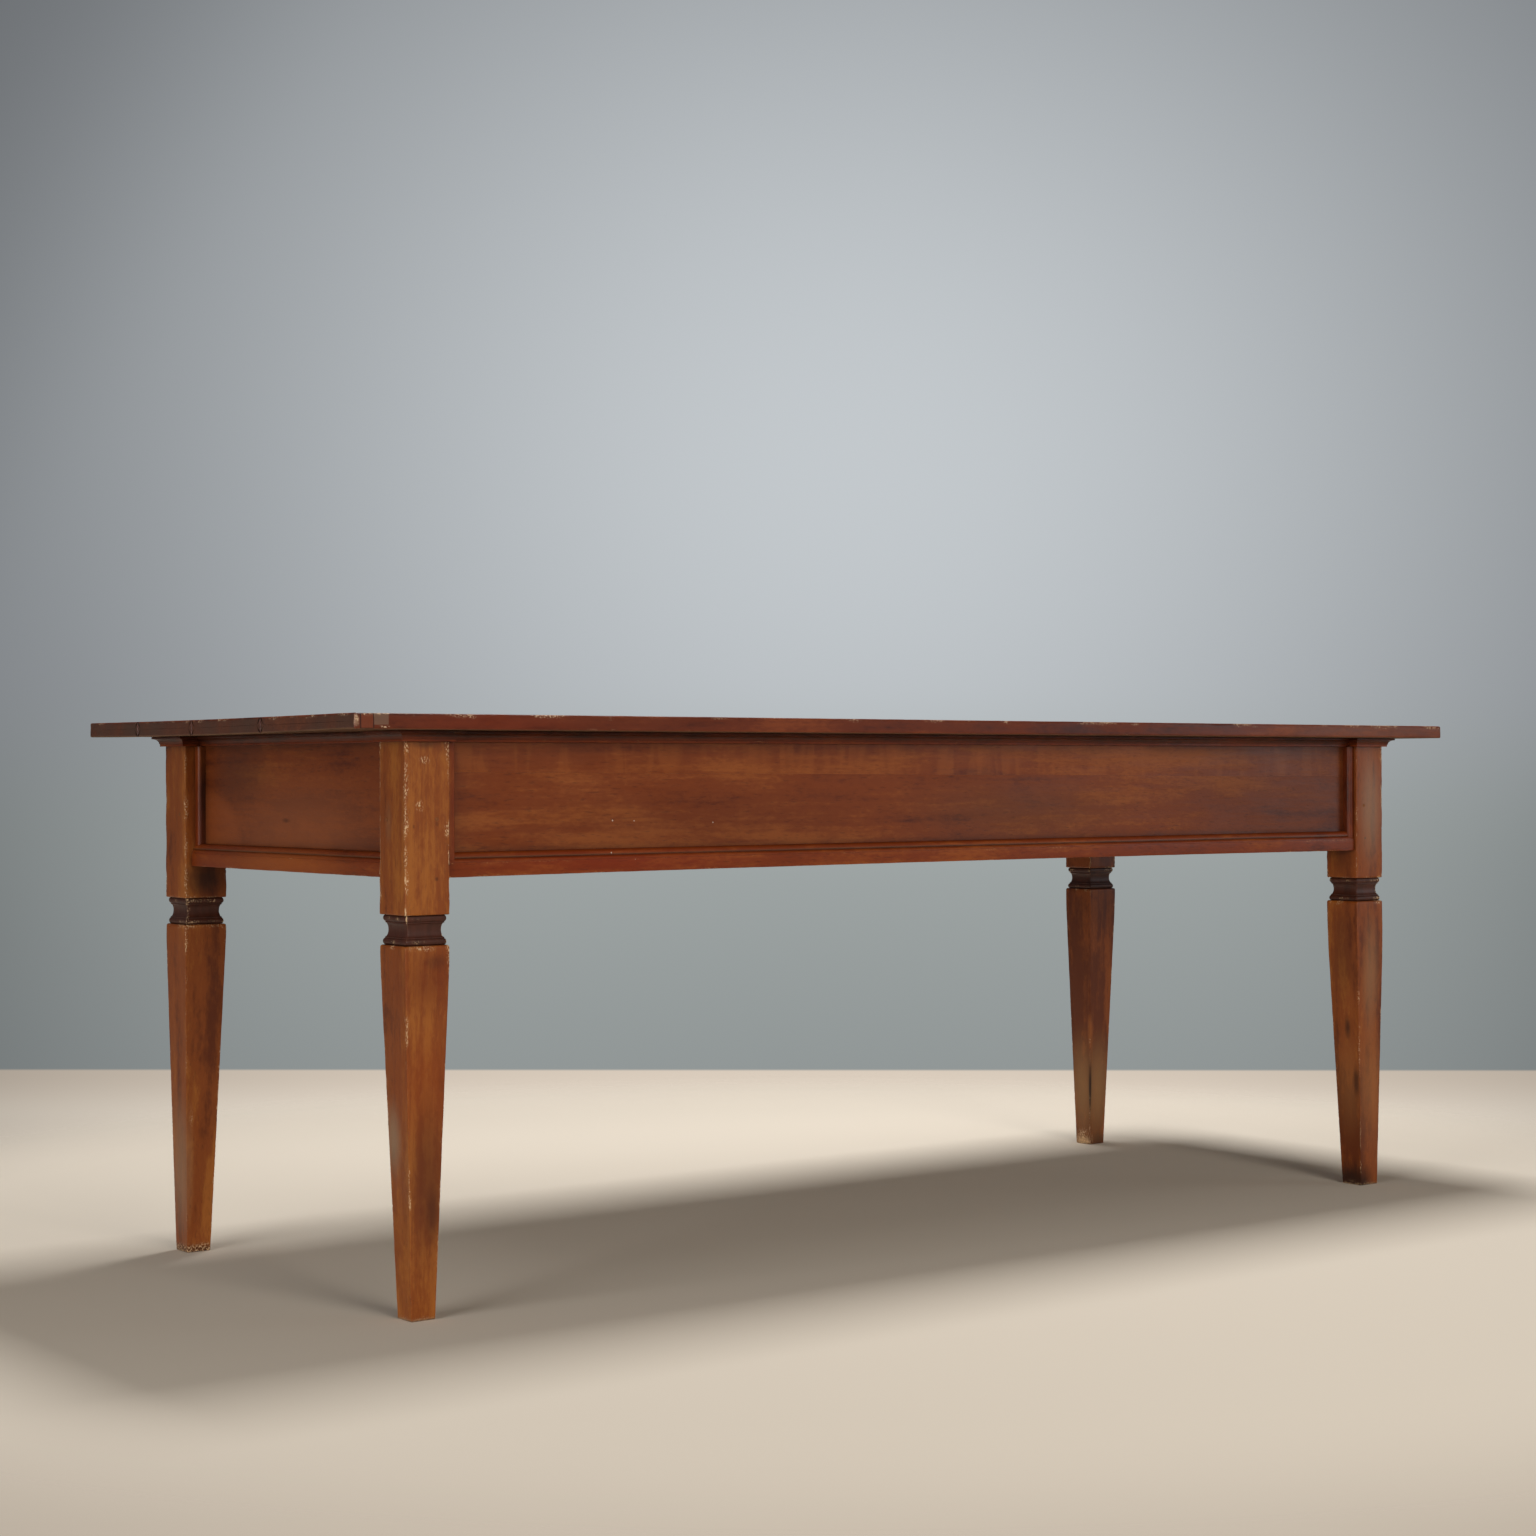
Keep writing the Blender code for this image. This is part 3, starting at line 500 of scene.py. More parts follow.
def worn_piece(node, path, outline, place, finish, settings, *, chip_share=0.14, wear_share=1.0, shape=None,
               tone=0.0, droop=0.0):
    """Make the worn visual piece that stands for a node, and give it to the frame.

    The shape bends it before the place sets it in the table. The tone makes its wood lighter or darker,
    and the droop lets it hang that far under its node's box.
    """
    for label in ("raw", "soil"):
        outline.setdefault(label, np.zeros(len(outline["places"])))
    outline.setdefault("rim", np.ones(len(outline["places"])))
    wires = wire_mesh(node + "_wires", path, outline)
    number = piece_number(node)
    guide = bpy.data.objects.new(node + "_wires", wires)
    bpy.context.scene.collection.objects.link(guide)
    modifier = guide.modifiers.new("worn_length", "NODES")
    modifier.node_group = bpy.data.node_groups.get("worn_length") or worn_length_tree()
    set_inputs(modifier, {"Rub Depth": settings.rub if settings else 0.0, "Rub Size": RUB_SIZE,
                          "Chip Depth": settings.chip if settings else 0.0, "Chip Size": CHIP_SIZE,
                          "Chip Share": chip_share, "Wave Depth": WAVE_DEPTH, "Wave Size": WAVE_SIZE,
                          "Wear Share": wear_share, "Seed": 3.0 * number, "Material": material(finish)})
    graph = bpy.context.evaluated_depsgraph_get()
    made = bpy.data.meshes.new_from_object(guide.evaluated_get(graph), preserve_all_data_layers=True,
                                           depsgraph=graph)
    guide.modifiers.clear()
    bpy.data.objects.remove(guide)
    made.name = node + "_aged"
    for attribute in list(made.attributes):
        known = attribute.name in KEPT_ATTRIBUTES or attribute.name.startswith(".")
        if not known and not attribute.is_required:
            made.attributes.remove(attribute)

    places = np.zeros(len(made.vertices) * 3)
    made.vertices.foreach_get("co", places)
    places = places.reshape(-1, 3)
    if shape is not None:
        places = shape(places)
    places = places @ np.array(place.to_3x3()).T + np.array(place.translation)
    low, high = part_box(node)
    places = np.clip(places, np.array(low) - (0.0, 0.0, droop), np.array(high))
    made.vertices.foreach_set("co", places.ravel())
    shift = np.array(GRAIN_SHIFT) * (number + 1)
    grain = np.zeros(len(places) * 3)
    made.attributes["grain"].data.foreach_get("vector", grain)
    made.attributes["grain"].data.foreach_set("vector", (grain.reshape(-1, 3) + shift).ravel())
    tones = made.attributes.new("tone", "FLOAT", "POINT")
    tones.data.foreach_set("value", np.full(len(places), tone, np.float32))
    made.update()
    face_outwards(made)
    made.shade_smooth()
    made.set_sharp_from_angle(angle=math.radians(40))

    piece = bpy.data.objects.new(node + "_aged", made)
    bpy.context.scene.collection.objects.link(piece)
    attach(piece, "root")
    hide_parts(node)
    return piece


# Places along the frame

def half_run(side):
    """Half the length of a side, over its legs."""
    return HALF_FRAME_LENGTH if side in LONG_SIDES else HALF_FRAME_DEPTH


def half_reach(side):
    """How far a side's legs stand out from the table's middle."""
    return HALF_FRAME_DEPTH if side in LONG_SIDES else HALF_FRAME_LENGTH


def half_bay(side):
    """Half the length of apron that shows between two legs."""
    return half_run(side) - LEG_WIDTH


def reach(side, node):
    """How far a node stands out from the table's middle on one side."""
    low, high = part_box(node)
    return {"front": -low.y, "right": high.x, "back": high.y, "left": -low.x}[side]


def apron_face(side):
    """How far the outer face of a side's apron stands out from the table's middle."""
    return reach(side, "apron_" + side + ("_lower" if side in LONG_SIDES else ""))


def turn(side):
    """The turn about Z that brings the front to this side."""
    return Matrix.Rotation(SIDES.index(side) * math.pi / 2, 4, "Z")


# A length that runs upwards: its section's y is the side's own +X and its z the side's own +Y
UPRIGHT = Matrix(((0, 1, 0, 0), (0, 0, 1, 0), (1, 0, 0, 0), (0, 0, 0, 1)))
# A peg that runs outwards: its section's y is the side's own +X and its z is up
OUTWARD = Matrix(((0, 1, 0, 0), (-1, 0, 0, 0), (0, 0, 1, 0), (0, 0, 0, 1)))


def fade(distance, length):
    """One at no distance, falling away over a length."""
    return np.exp(-np.abs(distance) / length)


# Where grime gathers and where shade is painted, in corners, creases, grooves, and under the cornice and the
# top, as how strong the darkening is and how many millimetres it takes to fade
DIRT_AND_SHADE = {
    "joint of the top": (0.35, 0.8),
    "leg under the cornice": (0.8, 9),
    "apron under the cornice": (0.85, 14),
    "apron over the moulding": (0.5, 5),
    "apron beside a strip": (0.8, 9),
    "groove of the moulding": (1.0, 1.1),
    "crown of the moulding": (0.6, 1.2),
    "end of the moulding": (0.6, 4),
    "strip beside a leg": (0.95, 2.6),
    "strip on the apron": (0.7, 1.5),
    "strip under the cornice": (0.8, 12),
    "head of the cove": (1.0, 2.5),
    "fillet under the cove": (0.7, 0.8),
}


def dirt_and_shade(kind, distance):
    """How dark a kind of grime and painted shade is at a distance from where it gathers."""
    strength, length = DIRT_AND_SHADE[kind]
    return strength * fade(distance, length * MM)


def under(height, level):
    """How far a height is under a level, as a number below zero, and zero above it."""
    return np.minimum(height - level, 0.0)


# Pieces

# How squarely a point has to face the inside or the floor to be bare wood
FACING = 0.6
# How much of the wear the lower edges of the top take
LOWER_RIM = 0.45

# The top has sagged where its left end overhangs the cornice, most of all a little behind its middle
OVERHANG_FROM = -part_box("cornice_front_left_left")[0].x + 1 * MM
SAG_FROM = 0.60
SAG_RUN = 0.45
SAG_MIDDLE = 0.06
SAG_HALF_WIDTH = 0.42
SAG_ABOVE = 0.6
SAG_BELOW = 1.2

PEG_CORNERS = 16

# How light or dark the wood of each board of the top and of each leg is, and how worn each leg
BOARD_TONES = {"front": 0.1, "middle_front": -0.2, "middle_back": 0.1, "back": -0.1}
# The back right leg's dark tone is partly painted shade, for the shade it stands in under the table
LEG_TONES = {"front_left": 0.3, "front_right": -0.1, "back_right": -0.9, "back_left": -0.1}
LEG_WEAR = {"front_left": 0.95, "front_right": 0.75, "back_right": 0.7, "back_left": 0.8}


def make_top_board(name, settings):
    """One board of the top, with eased outer edges and tight joints."""
    node = "top_board_" + name
    low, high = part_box(node)
    joint = 0.35 * MM
    front = settings.edge if name == TOP_BOARDS[0] else joint
    back = settings.edge if name == TOP_BOARDS[-1] else joint
    outline = section(rectangle((low.y, low.z), (high.y, high.z), (front, back, back, front)), 5 * MM)
    y, z = outline["places"].T
    outline["raw"] = np.where(outline["outward"][:, 1] < -FACING, 1.0, 0.0)
    outline["soil"] = np.zeros(len(y))
    outline["rim"] = np.where(z < (low.z + high.z) / 2, LOWER_RIM, 1.0)
    for edge, inner in ((low.y, name != TOP_BOARDS[0]), (high.y, name != TOP_BOARDS[-1])):
        if inner:
            outline["rim"] = outline["rim"] * (1 - fade(y - edge, 6 * MM))
            outline["soil"] = np.maximum(outline["soil"], dirt_and_shade("joint of the top", y - edge))
    outline["arris"] = outline["arris"] * outline["rim"]
    path = straight_path(low.x, high.x, 4 * MM, settings.edge)

    # The upper face gives a little way, and the underside hangs where no frame holds it up
    def curl(places):
        left = np.clip((-places[:, 0] - SAG_FROM) / SAG_RUN, 0, 1) ** 2
        middle = np.clip(1 - ((places[:, 1] - SAG_MIDDLE) / SAG_HALF_WIDTH) ** 2, 0, 1)
        drop = settings.sag * left * middle
        upper = np.clip((places[:, 2] - low.z) / (high.z - low.z), 0, 1)
        outside = np.clip((-places[:, 0] - OVERHANG_FROM) / (-low.x - OVERHANG_FROM), 0, 1)
        places[:, 2] -= drop * (SAG_ABOVE * upper + SAG_BELOW * outside * (1 - upper))
        return places

    worn_piece(node, path, outline, Matrix(), "waxed_walnut_top", settings, chip_share=0.13,
               wear_share=0.62, shape=curl, tone=BOARD_TONES[name], droop=settings.sag)


def neck_levels():
    """The neck as (inset from the post's face, drop from the post's foot), from the top down."""
    radius = BEAD_HEIGHT / 2
    core = BEAD_INSET + BEAD_DEPTH
    lower_foot = NECK_HEIGHT - SHOULDER_HEIGHT
    cove_top = BEAD_HEIGHT + FILLET_HEIGHT
    cove_foot = lower_foot - BEAD_HEIGHT - FILLET_HEIGHT
    levels = [(core, 0.0)] + [p[:2] for p in arc((core, radius), (-BEAD_DEPTH, radius), -1, 1, 10)[1:]]
    levels.append((FILLET_INSET, BEAD_HEIGHT))
    levels += [p[:2] for p in arc((FILLET_INSET, (cove_top + cove_foot) / 2),
                                  (COVE_INSET - FILLET_INSET, (cove_foot - cove_top) / 2), -1, 1, 12)]
    levels.append((FILLET_INSET, cove_foot + FILLET_HEIGHT))
    levels += [p[:2] for p in arc((core, lower_foot - radius), (-BEAD_DEPTH, radius), -1, 1, 10)]
    return levels


def taper_half_width(drop, top_width, foot_width, start_length):
    """Half the width of the taper, below its top, which starts gently and then runs straight."""
    slope = (top_width - foot_width) / (TAPER_TOP - start_length / 2)
    if drop < start_length:
        loss = slope * drop * drop / (2 * start_length)
    else:
        loss = slope * (drop - start_length / 2)
    return (top_width - loss) / 2


def leg_path(top_width, foot_width, start_length):
    """Stations up a leg, from its foot to its top."""
    half = LEG_WIDTH / 2
    spacing = 1.8 * MM
    # Each row has a height, the half width there, and how open its edge is to wear
    rows = [(0.0, foot_width / 2 - FOOT_CHAMFER, 1.0),
            (FOOT_CHAMFER / 3, foot_width / 2 - FOOT_CHAMFER / 3, 1.0)]
    for height in np.arange(FOOT_CHAMFER, TAPER_TOP, spacing):
        near = math.exp(-height / (7 * MM)) + 0.9 * math.exp(-(TAPER_TOP - height) / (1.5 * ARRIS_FADE))
        width = taper_half_width(TAPER_TOP - height, top_width, foot_width, start_length)
        rows.append((height, width, min(near, 1.0)))
    shoulder = arc((top_width / 2 - SHOULDER_DEPTH, TAPER_TOP), (SHOULDER_DEPTH, SHOULDER_HEIGHT), 0, 1, 4)
    rows += [(height, width, 0.9) for width, height, _ in shoulder]
    for inset, drop in reversed(neck_levels()):
        on_bead = math.exp(-(inset - BEAD_INSET) / (0.8 * MM))
        rows.append((POST_FOOT - drop, half - inset, 0.7 * on_bead))
    rows.append((POST_FOOT, half - 1.2 * MM, 0.6))
    rows.append((POST_FOOT + 0.4 * MM, half - 0.4 * MM, 0.8))
    post = np.linspace(POST_FOOT + 1.2 * MM, FRAME_TOP, round((FRAME_TOP - POST_FOOT) / spacing))
    rows += [(height, half, 0.8 * math.exp(-(height - POST_FOOT) / ARRIS_FADE)) for height in post]
    height, width, edge = (np.array(column) for column in zip(*rows))
    from_neck = np.minimum(POST_FOOT - height, height - (TAPER_TOP + SHOULDER_HEIGHT))
    on_taper = 1 / (1 + np.exp((height - TAPER_TOP) / (6 * MM)))
    return stations(height, size=width / half, edge=edge, wear=1 - 0.3 * on_taper,
                    stain=np.clip(from_neck / (1.0 * MM) + 0.6, 0, 1),
                    # Painted shade darkens the post just under the cornice
                    soil=dirt_and_shade("leg under the cornice", under(height, CORNICE_FOOT)),
                    end_grain=np.where(height <= 0.0, 1.0, 0.0))


def make_leg(leg, settings):
    """One leg: a post, a neck with a bead, a cove and a bead, and a long taper."""
    first = LEGS[leg][0]
    half = LEG_WIDTH / 2
    ease = settings.arris
    outline = section(rectangle((-half, -half), (half, half), (ease,) * 4), 6 * MM)
    low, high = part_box("leg_" + leg)
    centre = (low + high) / 2
    place = Matrix.Translation((centre.x, centre.y, 0.0)) @ turn(first) @ UPRIGHT
    *widths, lean = LEG_SHAPES[leg]
    lean = turn(first).inverted().to_3x3() @ Vector((*lean, 0.0))

    def lean_foot(places):
        share = np.clip(1 - places[:, 0] / TAPER_TOP, 0, 1)
        places[:, 1] += lean.x * share
        places[:, 2] += lean.y * share
        return places

    worn_piece("leg_" + leg, leg_path(*widths), outline, place, "shellacked_walnut_legs", settings,
               chip_share=0.17, wear_share=LEG_WEAR[leg], shape=lean_foot, tone=LEG_TONES[leg])


def make_apron_board(node, side, settings):
    """One apron board from leg to leg. Its seam follows the fall of the frame's joint."""
    low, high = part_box(node)
    face = reach(side, node)
    thickness = (high.y - low.y) if side in LONG_SIDES else (high.x - low.x)
    foot = 0.0 if node.endswith("upper") else 0.5 * MM
    outline = section(rectangle((-face, low.z), (-face + thickness, high.z), (foot, foot, 0.0, 0.0)), 6 * MM)
    outline["raw"] = np.where(outline["outward"][:, 0] > FACING, 1.0, 0.0)
    z = outline["places"][:, 1]
    moulding_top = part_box("lower_moulding_" + side)[1].z
    # Painted shade darkens the apron under the cornice and just over the moulding
    outline["soil"] = np.maximum(dirt_and_shade("apron under the cornice", under(z, CORNICE_FOOT)),
                                 dirt_and_shade("apron over the moulding", under(moulding_top, z)))
    end = half_bay(side) - CLEARANCE
    path = straight_path(-end, end, 8 * MM)
    # Painted shade darkens the apron beside the corner strips
    path["soil"] = dirt_and_shade("apron beside a strip", end - STRIP_WIDTH - np.abs(path["x"]))

    def fit_seam(places):
        if side not in LONG_SIDES:
            return places
        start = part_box("apron_" + side + "_lower")[1].z
        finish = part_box("apron_" + side + "_upper")[0].z
        seam = start + (finish - start) * (places[:, 0] + end) / (2 * end)
        if node.endswith("lower"):
            share = (places[:, 2] - low.z) / (high.z - low.z)
            places[:, 2] = low.z + (seam + CLEARANCE / 2 - low.z) * share
        else:
            share = (high.z - places[:, 2]) / (high.z - low.z)
            places[:, 2] = high.z - (high.z - seam - CLEARANCE / 2) * share
        return places

    def shape(places):
        places = fit_seam(places)
        if side == "front" and node.endswith("lower"):
            places = bow_foot(places, settings.bow, low.z, FLAT_HEIGHT, end)
        return places

    worn_piece(node, path, outline, turn(side), "shellacked_walnut_aprons", settings, chip_share=0.02,
               wear_share=0.3, shape=shape, tone=0.3 if node.endswith("upper") else 0.0)


def bow_foot(places, bow, foot, height, half):
    """Raise the foot of a length in its middle, less and less up to a height."""
    share = np.clip(1 - (places[:, 2] - foot) / height, 0, 1)
    places[:, 2] += bow * share * (1 - (places[:, 0] / half) ** 2)
    return places


def make_lower_moulding(side, settings):
    """The moulding along the foot of an apron: a flat, a small round, a groove and an ovolo."""
    node = "lower_moulding_" + side
    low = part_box(node)[0]
    face = apron_face(side)
    front = reach(side, node) - face
    ease = 0.6 * MM
    round_front = front - FLAT_STEP
    round_back = round_front - ROUND_DEPTH
    head = FLAT_HEIGHT + ROUND_HEIGHT
    groove_back = round_back - GROOVE_DEPTH
    ovolo_foot = head + GROOVE_HEIGHT
    profile = [(CLEARANCE, 0.0, ease), (front, 0.0, ease), (front, FLAT_HEIGHT, 0.4 * MM)]
    profile += arc((round_back, FLAT_HEIGHT), (ROUND_DEPTH, ROUND_HEIGHT), 0, 1, 6)
    profile += [(groove_back, head, 0.0), (groove_back, ovolo_foot, 0.0)]
    profile += arc((round_back - OVOLO_DEPTH, ovolo_foot), (OVOLO_DEPTH, OVOLO_HEIGHT), 0, 1, 8)
    profile.append((CLEARANCE, ovolo_foot + OVOLO_HEIGHT, 0.0))
    outline = section([(-face - d, low.z + h, e) for d, h, e in profile], 4 * MM)
    y, z = outline["places"].T
    d = -y - face
    # Grime and painted shade darken the groove, and painted shade darkens the crown where it meets the apron
    groove = dirt_and_shade("groove of the moulding", z - (low.z + head + GROOVE_HEIGHT / 2))
    crown = dirt_and_shade("crown of the moulding", z - (low.z + ovolo_foot + OVOLO_HEIGHT))
    outline["soil"] = np.maximum(groove * np.where(d < round_front, 1.0, 0.0), crown)
    outline["raw"] = np.where(outline["outward"][:, 1] < -FACING, 0.6, 0.0)
    end = half_bay(side) - CLEARANCE
    path = straight_path(-end, end, 4 * MM)
    # Painted shade darkens the moulding's ends beside the legs
    path["soil"] = dirt_and_shade("end of the moulding", end - np.abs(path["x"]))

    def shape(places):
        if side == "front":
            places = bow_foot(places, settings.bow, low.z, FLAT_HEIGHT, end)
        return places

    worn_piece(node, path, outline, turn(side), "shellacked_walnut_mouldings", settings, chip_share=0.10,
               wear_share=0.45, shape=shape, tone=0.25)


def make_corner_strip(side, end_name, sign, settings):
    """An upright strip where an apron meets a leg: a flat with a quarter round on its inner edge."""
    node = "corner_strip_" + side + "_" + end_name
    low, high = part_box(node)
    face = apron_face(side)
    front = reach(side, node) - face
    edge = half_bay(side)
    ease = 0.5 * MM
    profile = [(CLEARANCE, CLEARANCE, 0.0), (front, CLEARANCE, ease)]
    profile += arc((front - STRIP_ROUND_RADIUS, STRIP_FLAT_WIDTH), (STRIP_ROUND_RADIUS,) * 2, 0, 1, 6)
    profile.append((CLEARANCE, STRIP_WIDTH, 0.0))
    outline = section([(sign * (edge - w), -face - d, e) for d, w, e in profile], 2.5 * MM)
    w = edge - np.abs(outline["places"][:, 0])
    # Painted shade darkens the strip beside the leg and where it meets the apron
    outline["soil"] = np.maximum(dirt_and_shade("strip beside a leg", w - CLEARANCE),
                                 dirt_and_shade("strip on the apron", w - STRIP_WIDTH))
    path = straight_path(low.z, high.z, 2.5 * MM)
    # Painted shade darkens the strip under the cornice
    path["soil"] = dirt_and_shade("strip under the cornice", high.z - path["x"])
    worn_piece(node, path, outline, turn(side) @ UPRIGHT, "shellacked_walnut_mouldings", settings,
               chip_share=0.12, wear_share=0.06, tone=-0.2)


def cornice_outline():
    """The cornice's section out from a face and up from its foot: a fillet, a cove and a fillet."""
    foot_depth, foot_height = CORNICE_FOOT_FILLET
    top_depth, top_height = CORNICE_TOP_FILLET
    head = foot_height + CORNICE_COVE_RADIUS
    ease = 0.35 * MM
    profile = [(CLEARANCE, 0.0, 0.0), (foot_depth, 0.0, ease), (foot_depth, foot_height, ease)]
    profile += arc((CORNICE_COVE_START + CORNICE_COVE_RADIUS, foot_height),
                   (-CORNICE_COVE_RADIUS, CORNICE_COVE_RADIUS), 0, 1, 8)
    profile += [(top_depth, head, ease), (top_depth, head + top_height, ease)]
    profile.append((CLEARANCE, head + top_height, 0.0))
    return section([(-d, h, e) for d, h, e in profile], 3 * MM)


def make_cornice_length(node, start, turns, length, mitres, settings):
    """One mitred length of the cornice."""
    outline = cornice_outline()
    z = outline["places"][:, 1]
    head = CORNICE_FOOT_FILLET[1] + CORNICE_COVE_RADIUS
    # Painted shade darkens the head of the cove under the top's overhang, and the fillet under the cove
    outline["soil"] = np.maximum(dirt_and_shade("head of the cove", under(z, head - 4 * MM)),
                                 dirt_and_shade("fillet under the cove", z - CORNICE_FOOT_FILLET[1]))
    path = straight_path(CLEARANCE / 2, length - CLEARANCE / 2, 4 * MM, mitres=mitres)
    place = Matrix.Translation(start) @ Matrix.Rotation(turns * math.pi / 2, 4, "Z")
    worn_piece(node, path, outline, place, "shellacked_walnut_mouldings", settings, chip_share=0.10,
               wear_share=0.3, tone=-0.25)


def make_cornice(settings):
    """Lengths on the aprons, and lengths with returns that wrap each leg."""
    for side in SIDES:
        start = turn(side) @ Vector((-half_bay(side), -apron_face(side), CORNICE_FOOT))
        make_cornice_length("cornice_" + side, start, SIDES.index(side), 2 * half_bay(side), (-1, -1),
                            settings)
    for leg, (first, second) in LEGS.items():
        setbacks = [half_reach(side) - apron_face(side) for side in (first, second)]
        corner = turn(first) @ Vector((-half_run(first), -half_reach(first), CORNICE_FOOT))
        # Each has its start along and behind the first side, its quarter turns, its length and its mitres
        for name, x, y, turns, length, mitres in (
                ("cornice_" + leg + "_" + first, 0, 0, 0, LEG_WIDTH, (1, 1)),
                ("cornice_" + leg + "_" + second, 0, LEG_WIDTH, 3, LEG_WIDTH, (1, 1)),
                ("cornice_return_" + leg + "_" + first, LEG_WIDTH, 0, 1, setbacks[0], (1, -1)),
                ("cornice_return_" + leg + "_" + second, setbacks[1], LEG_WIDTH, 2, setbacks[1], (-1, 1))):
            start = corner + turn(first) @ Vector((x, y, 0.0))
            make_cornice_length(name, start, SIDES.index(first) + turns, length, mitres, settings)


def make_cross_rail(name, settings):
    """A rail from apron to apron under the top."""
    node = "cross_rail_" + name
    low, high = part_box(node)
    end = -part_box("apron_front_lower")[1].y - CLEARANCE
    centre = (low.x + high.x) / 2
    half = (high.x - low.x) / 2
    outline = section(rectangle((-half, low.z), (half, high.z), (3 * MM, 3 * MM, 0.4 * MM, 0.4 * MM)), 8 * MM)
    path = straight_path(-end, end, 10 * MM)
    place = Matrix.Translation((centre, 0.0, 0.0)) @ Matrix.Rotation(math.pi / 2, 4, "Z")
    worn_piece(node, path, outline, place, "planed_poplar", settings, wear_share=0.5,
               tone=0.2 if name == "left" else -0.2)


def make_glue_block(node, settings):
    """A block in the angle between a long apron and the top."""
    low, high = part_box(node)
    chamfer = 10 * MM
    ease = 0.5 * MM
    if "front" in node:
        corners = [(low.y, low.z, ease), (high.y - chamfer, low.z, ease), (high.y, low.z + chamfer, ease),
                   (high.y, high.z, ease), (low.y, high.z, ease)]
    else:
        corners = [(high.y, low.z, ease), (high.y, high.z, ease), (low.y, high.z, ease),
                   (low.y, low.z + chamfer, ease), (low.y + chamfer, low.z, ease)]
    path = straight_path(low.x, high.x, 5 * MM, 0.6 * MM)
    worn_piece(node, path, section(corners, 5 * MM), Matrix(), "planed_poplar", settings, wear_share=0.5,
               tone=0.4 * (piece_number(node) % 3 - 1))


def make_peg(leg, side):
    """A whittled peg whose end grain shows in the leg's face. It has no wear of its own."""
    node = "peg_" + leg + "_" + side
    low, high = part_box(node)
    middle = turn(side).inverted() @ ((low + high) / 2)
    depths = [(turn(side).inverted() @ corner).y for corner in (low, high)]
    radius = (high.z - low.z) / 2
    angles = [2 * math.pi * (k + 0.5) / PEG_CORNERS for k in range(PEG_CORNERS)]
    corners = [(radius * math.cos(angle), radius * math.sin(angle), 0.0) for angle in angles]
    path = straight_path(-max(depths), -min(depths), 2 * MM, 0.5 * MM)
    place = turn(side) @ Matrix.Translation((middle.x, 0.0, middle.z)) @ OUTWARD
    worn_piece(node, path, section(corners, 2 * MM), place, "peg_end_grain", None, wear_share=0.2)


# Finishes

MATERIALS = {}


def material(name):
    """The material of that name, built when it is first asked for."""
    if name not in MATERIALS:
        MATERIALS[name] = FINISHES[name](name)
    return MATERIALS[name]


# How much each noise and the piece's own tone give to the figure, and where its colours stand in it
RINGS_SHARE = 0.42
BLOTCH_SHARE = 0.34
MOTTLE_SHARE = 0.24
GRAINY_SHARE = 0.16
TONE_SHARE = 0.09
COLOUR_STOPS = (0.36, 0.50, 0.64)
DENTS_PER_METRE = (38.0, 45.0, 45.0)
RELIEF = 0.16 * MM


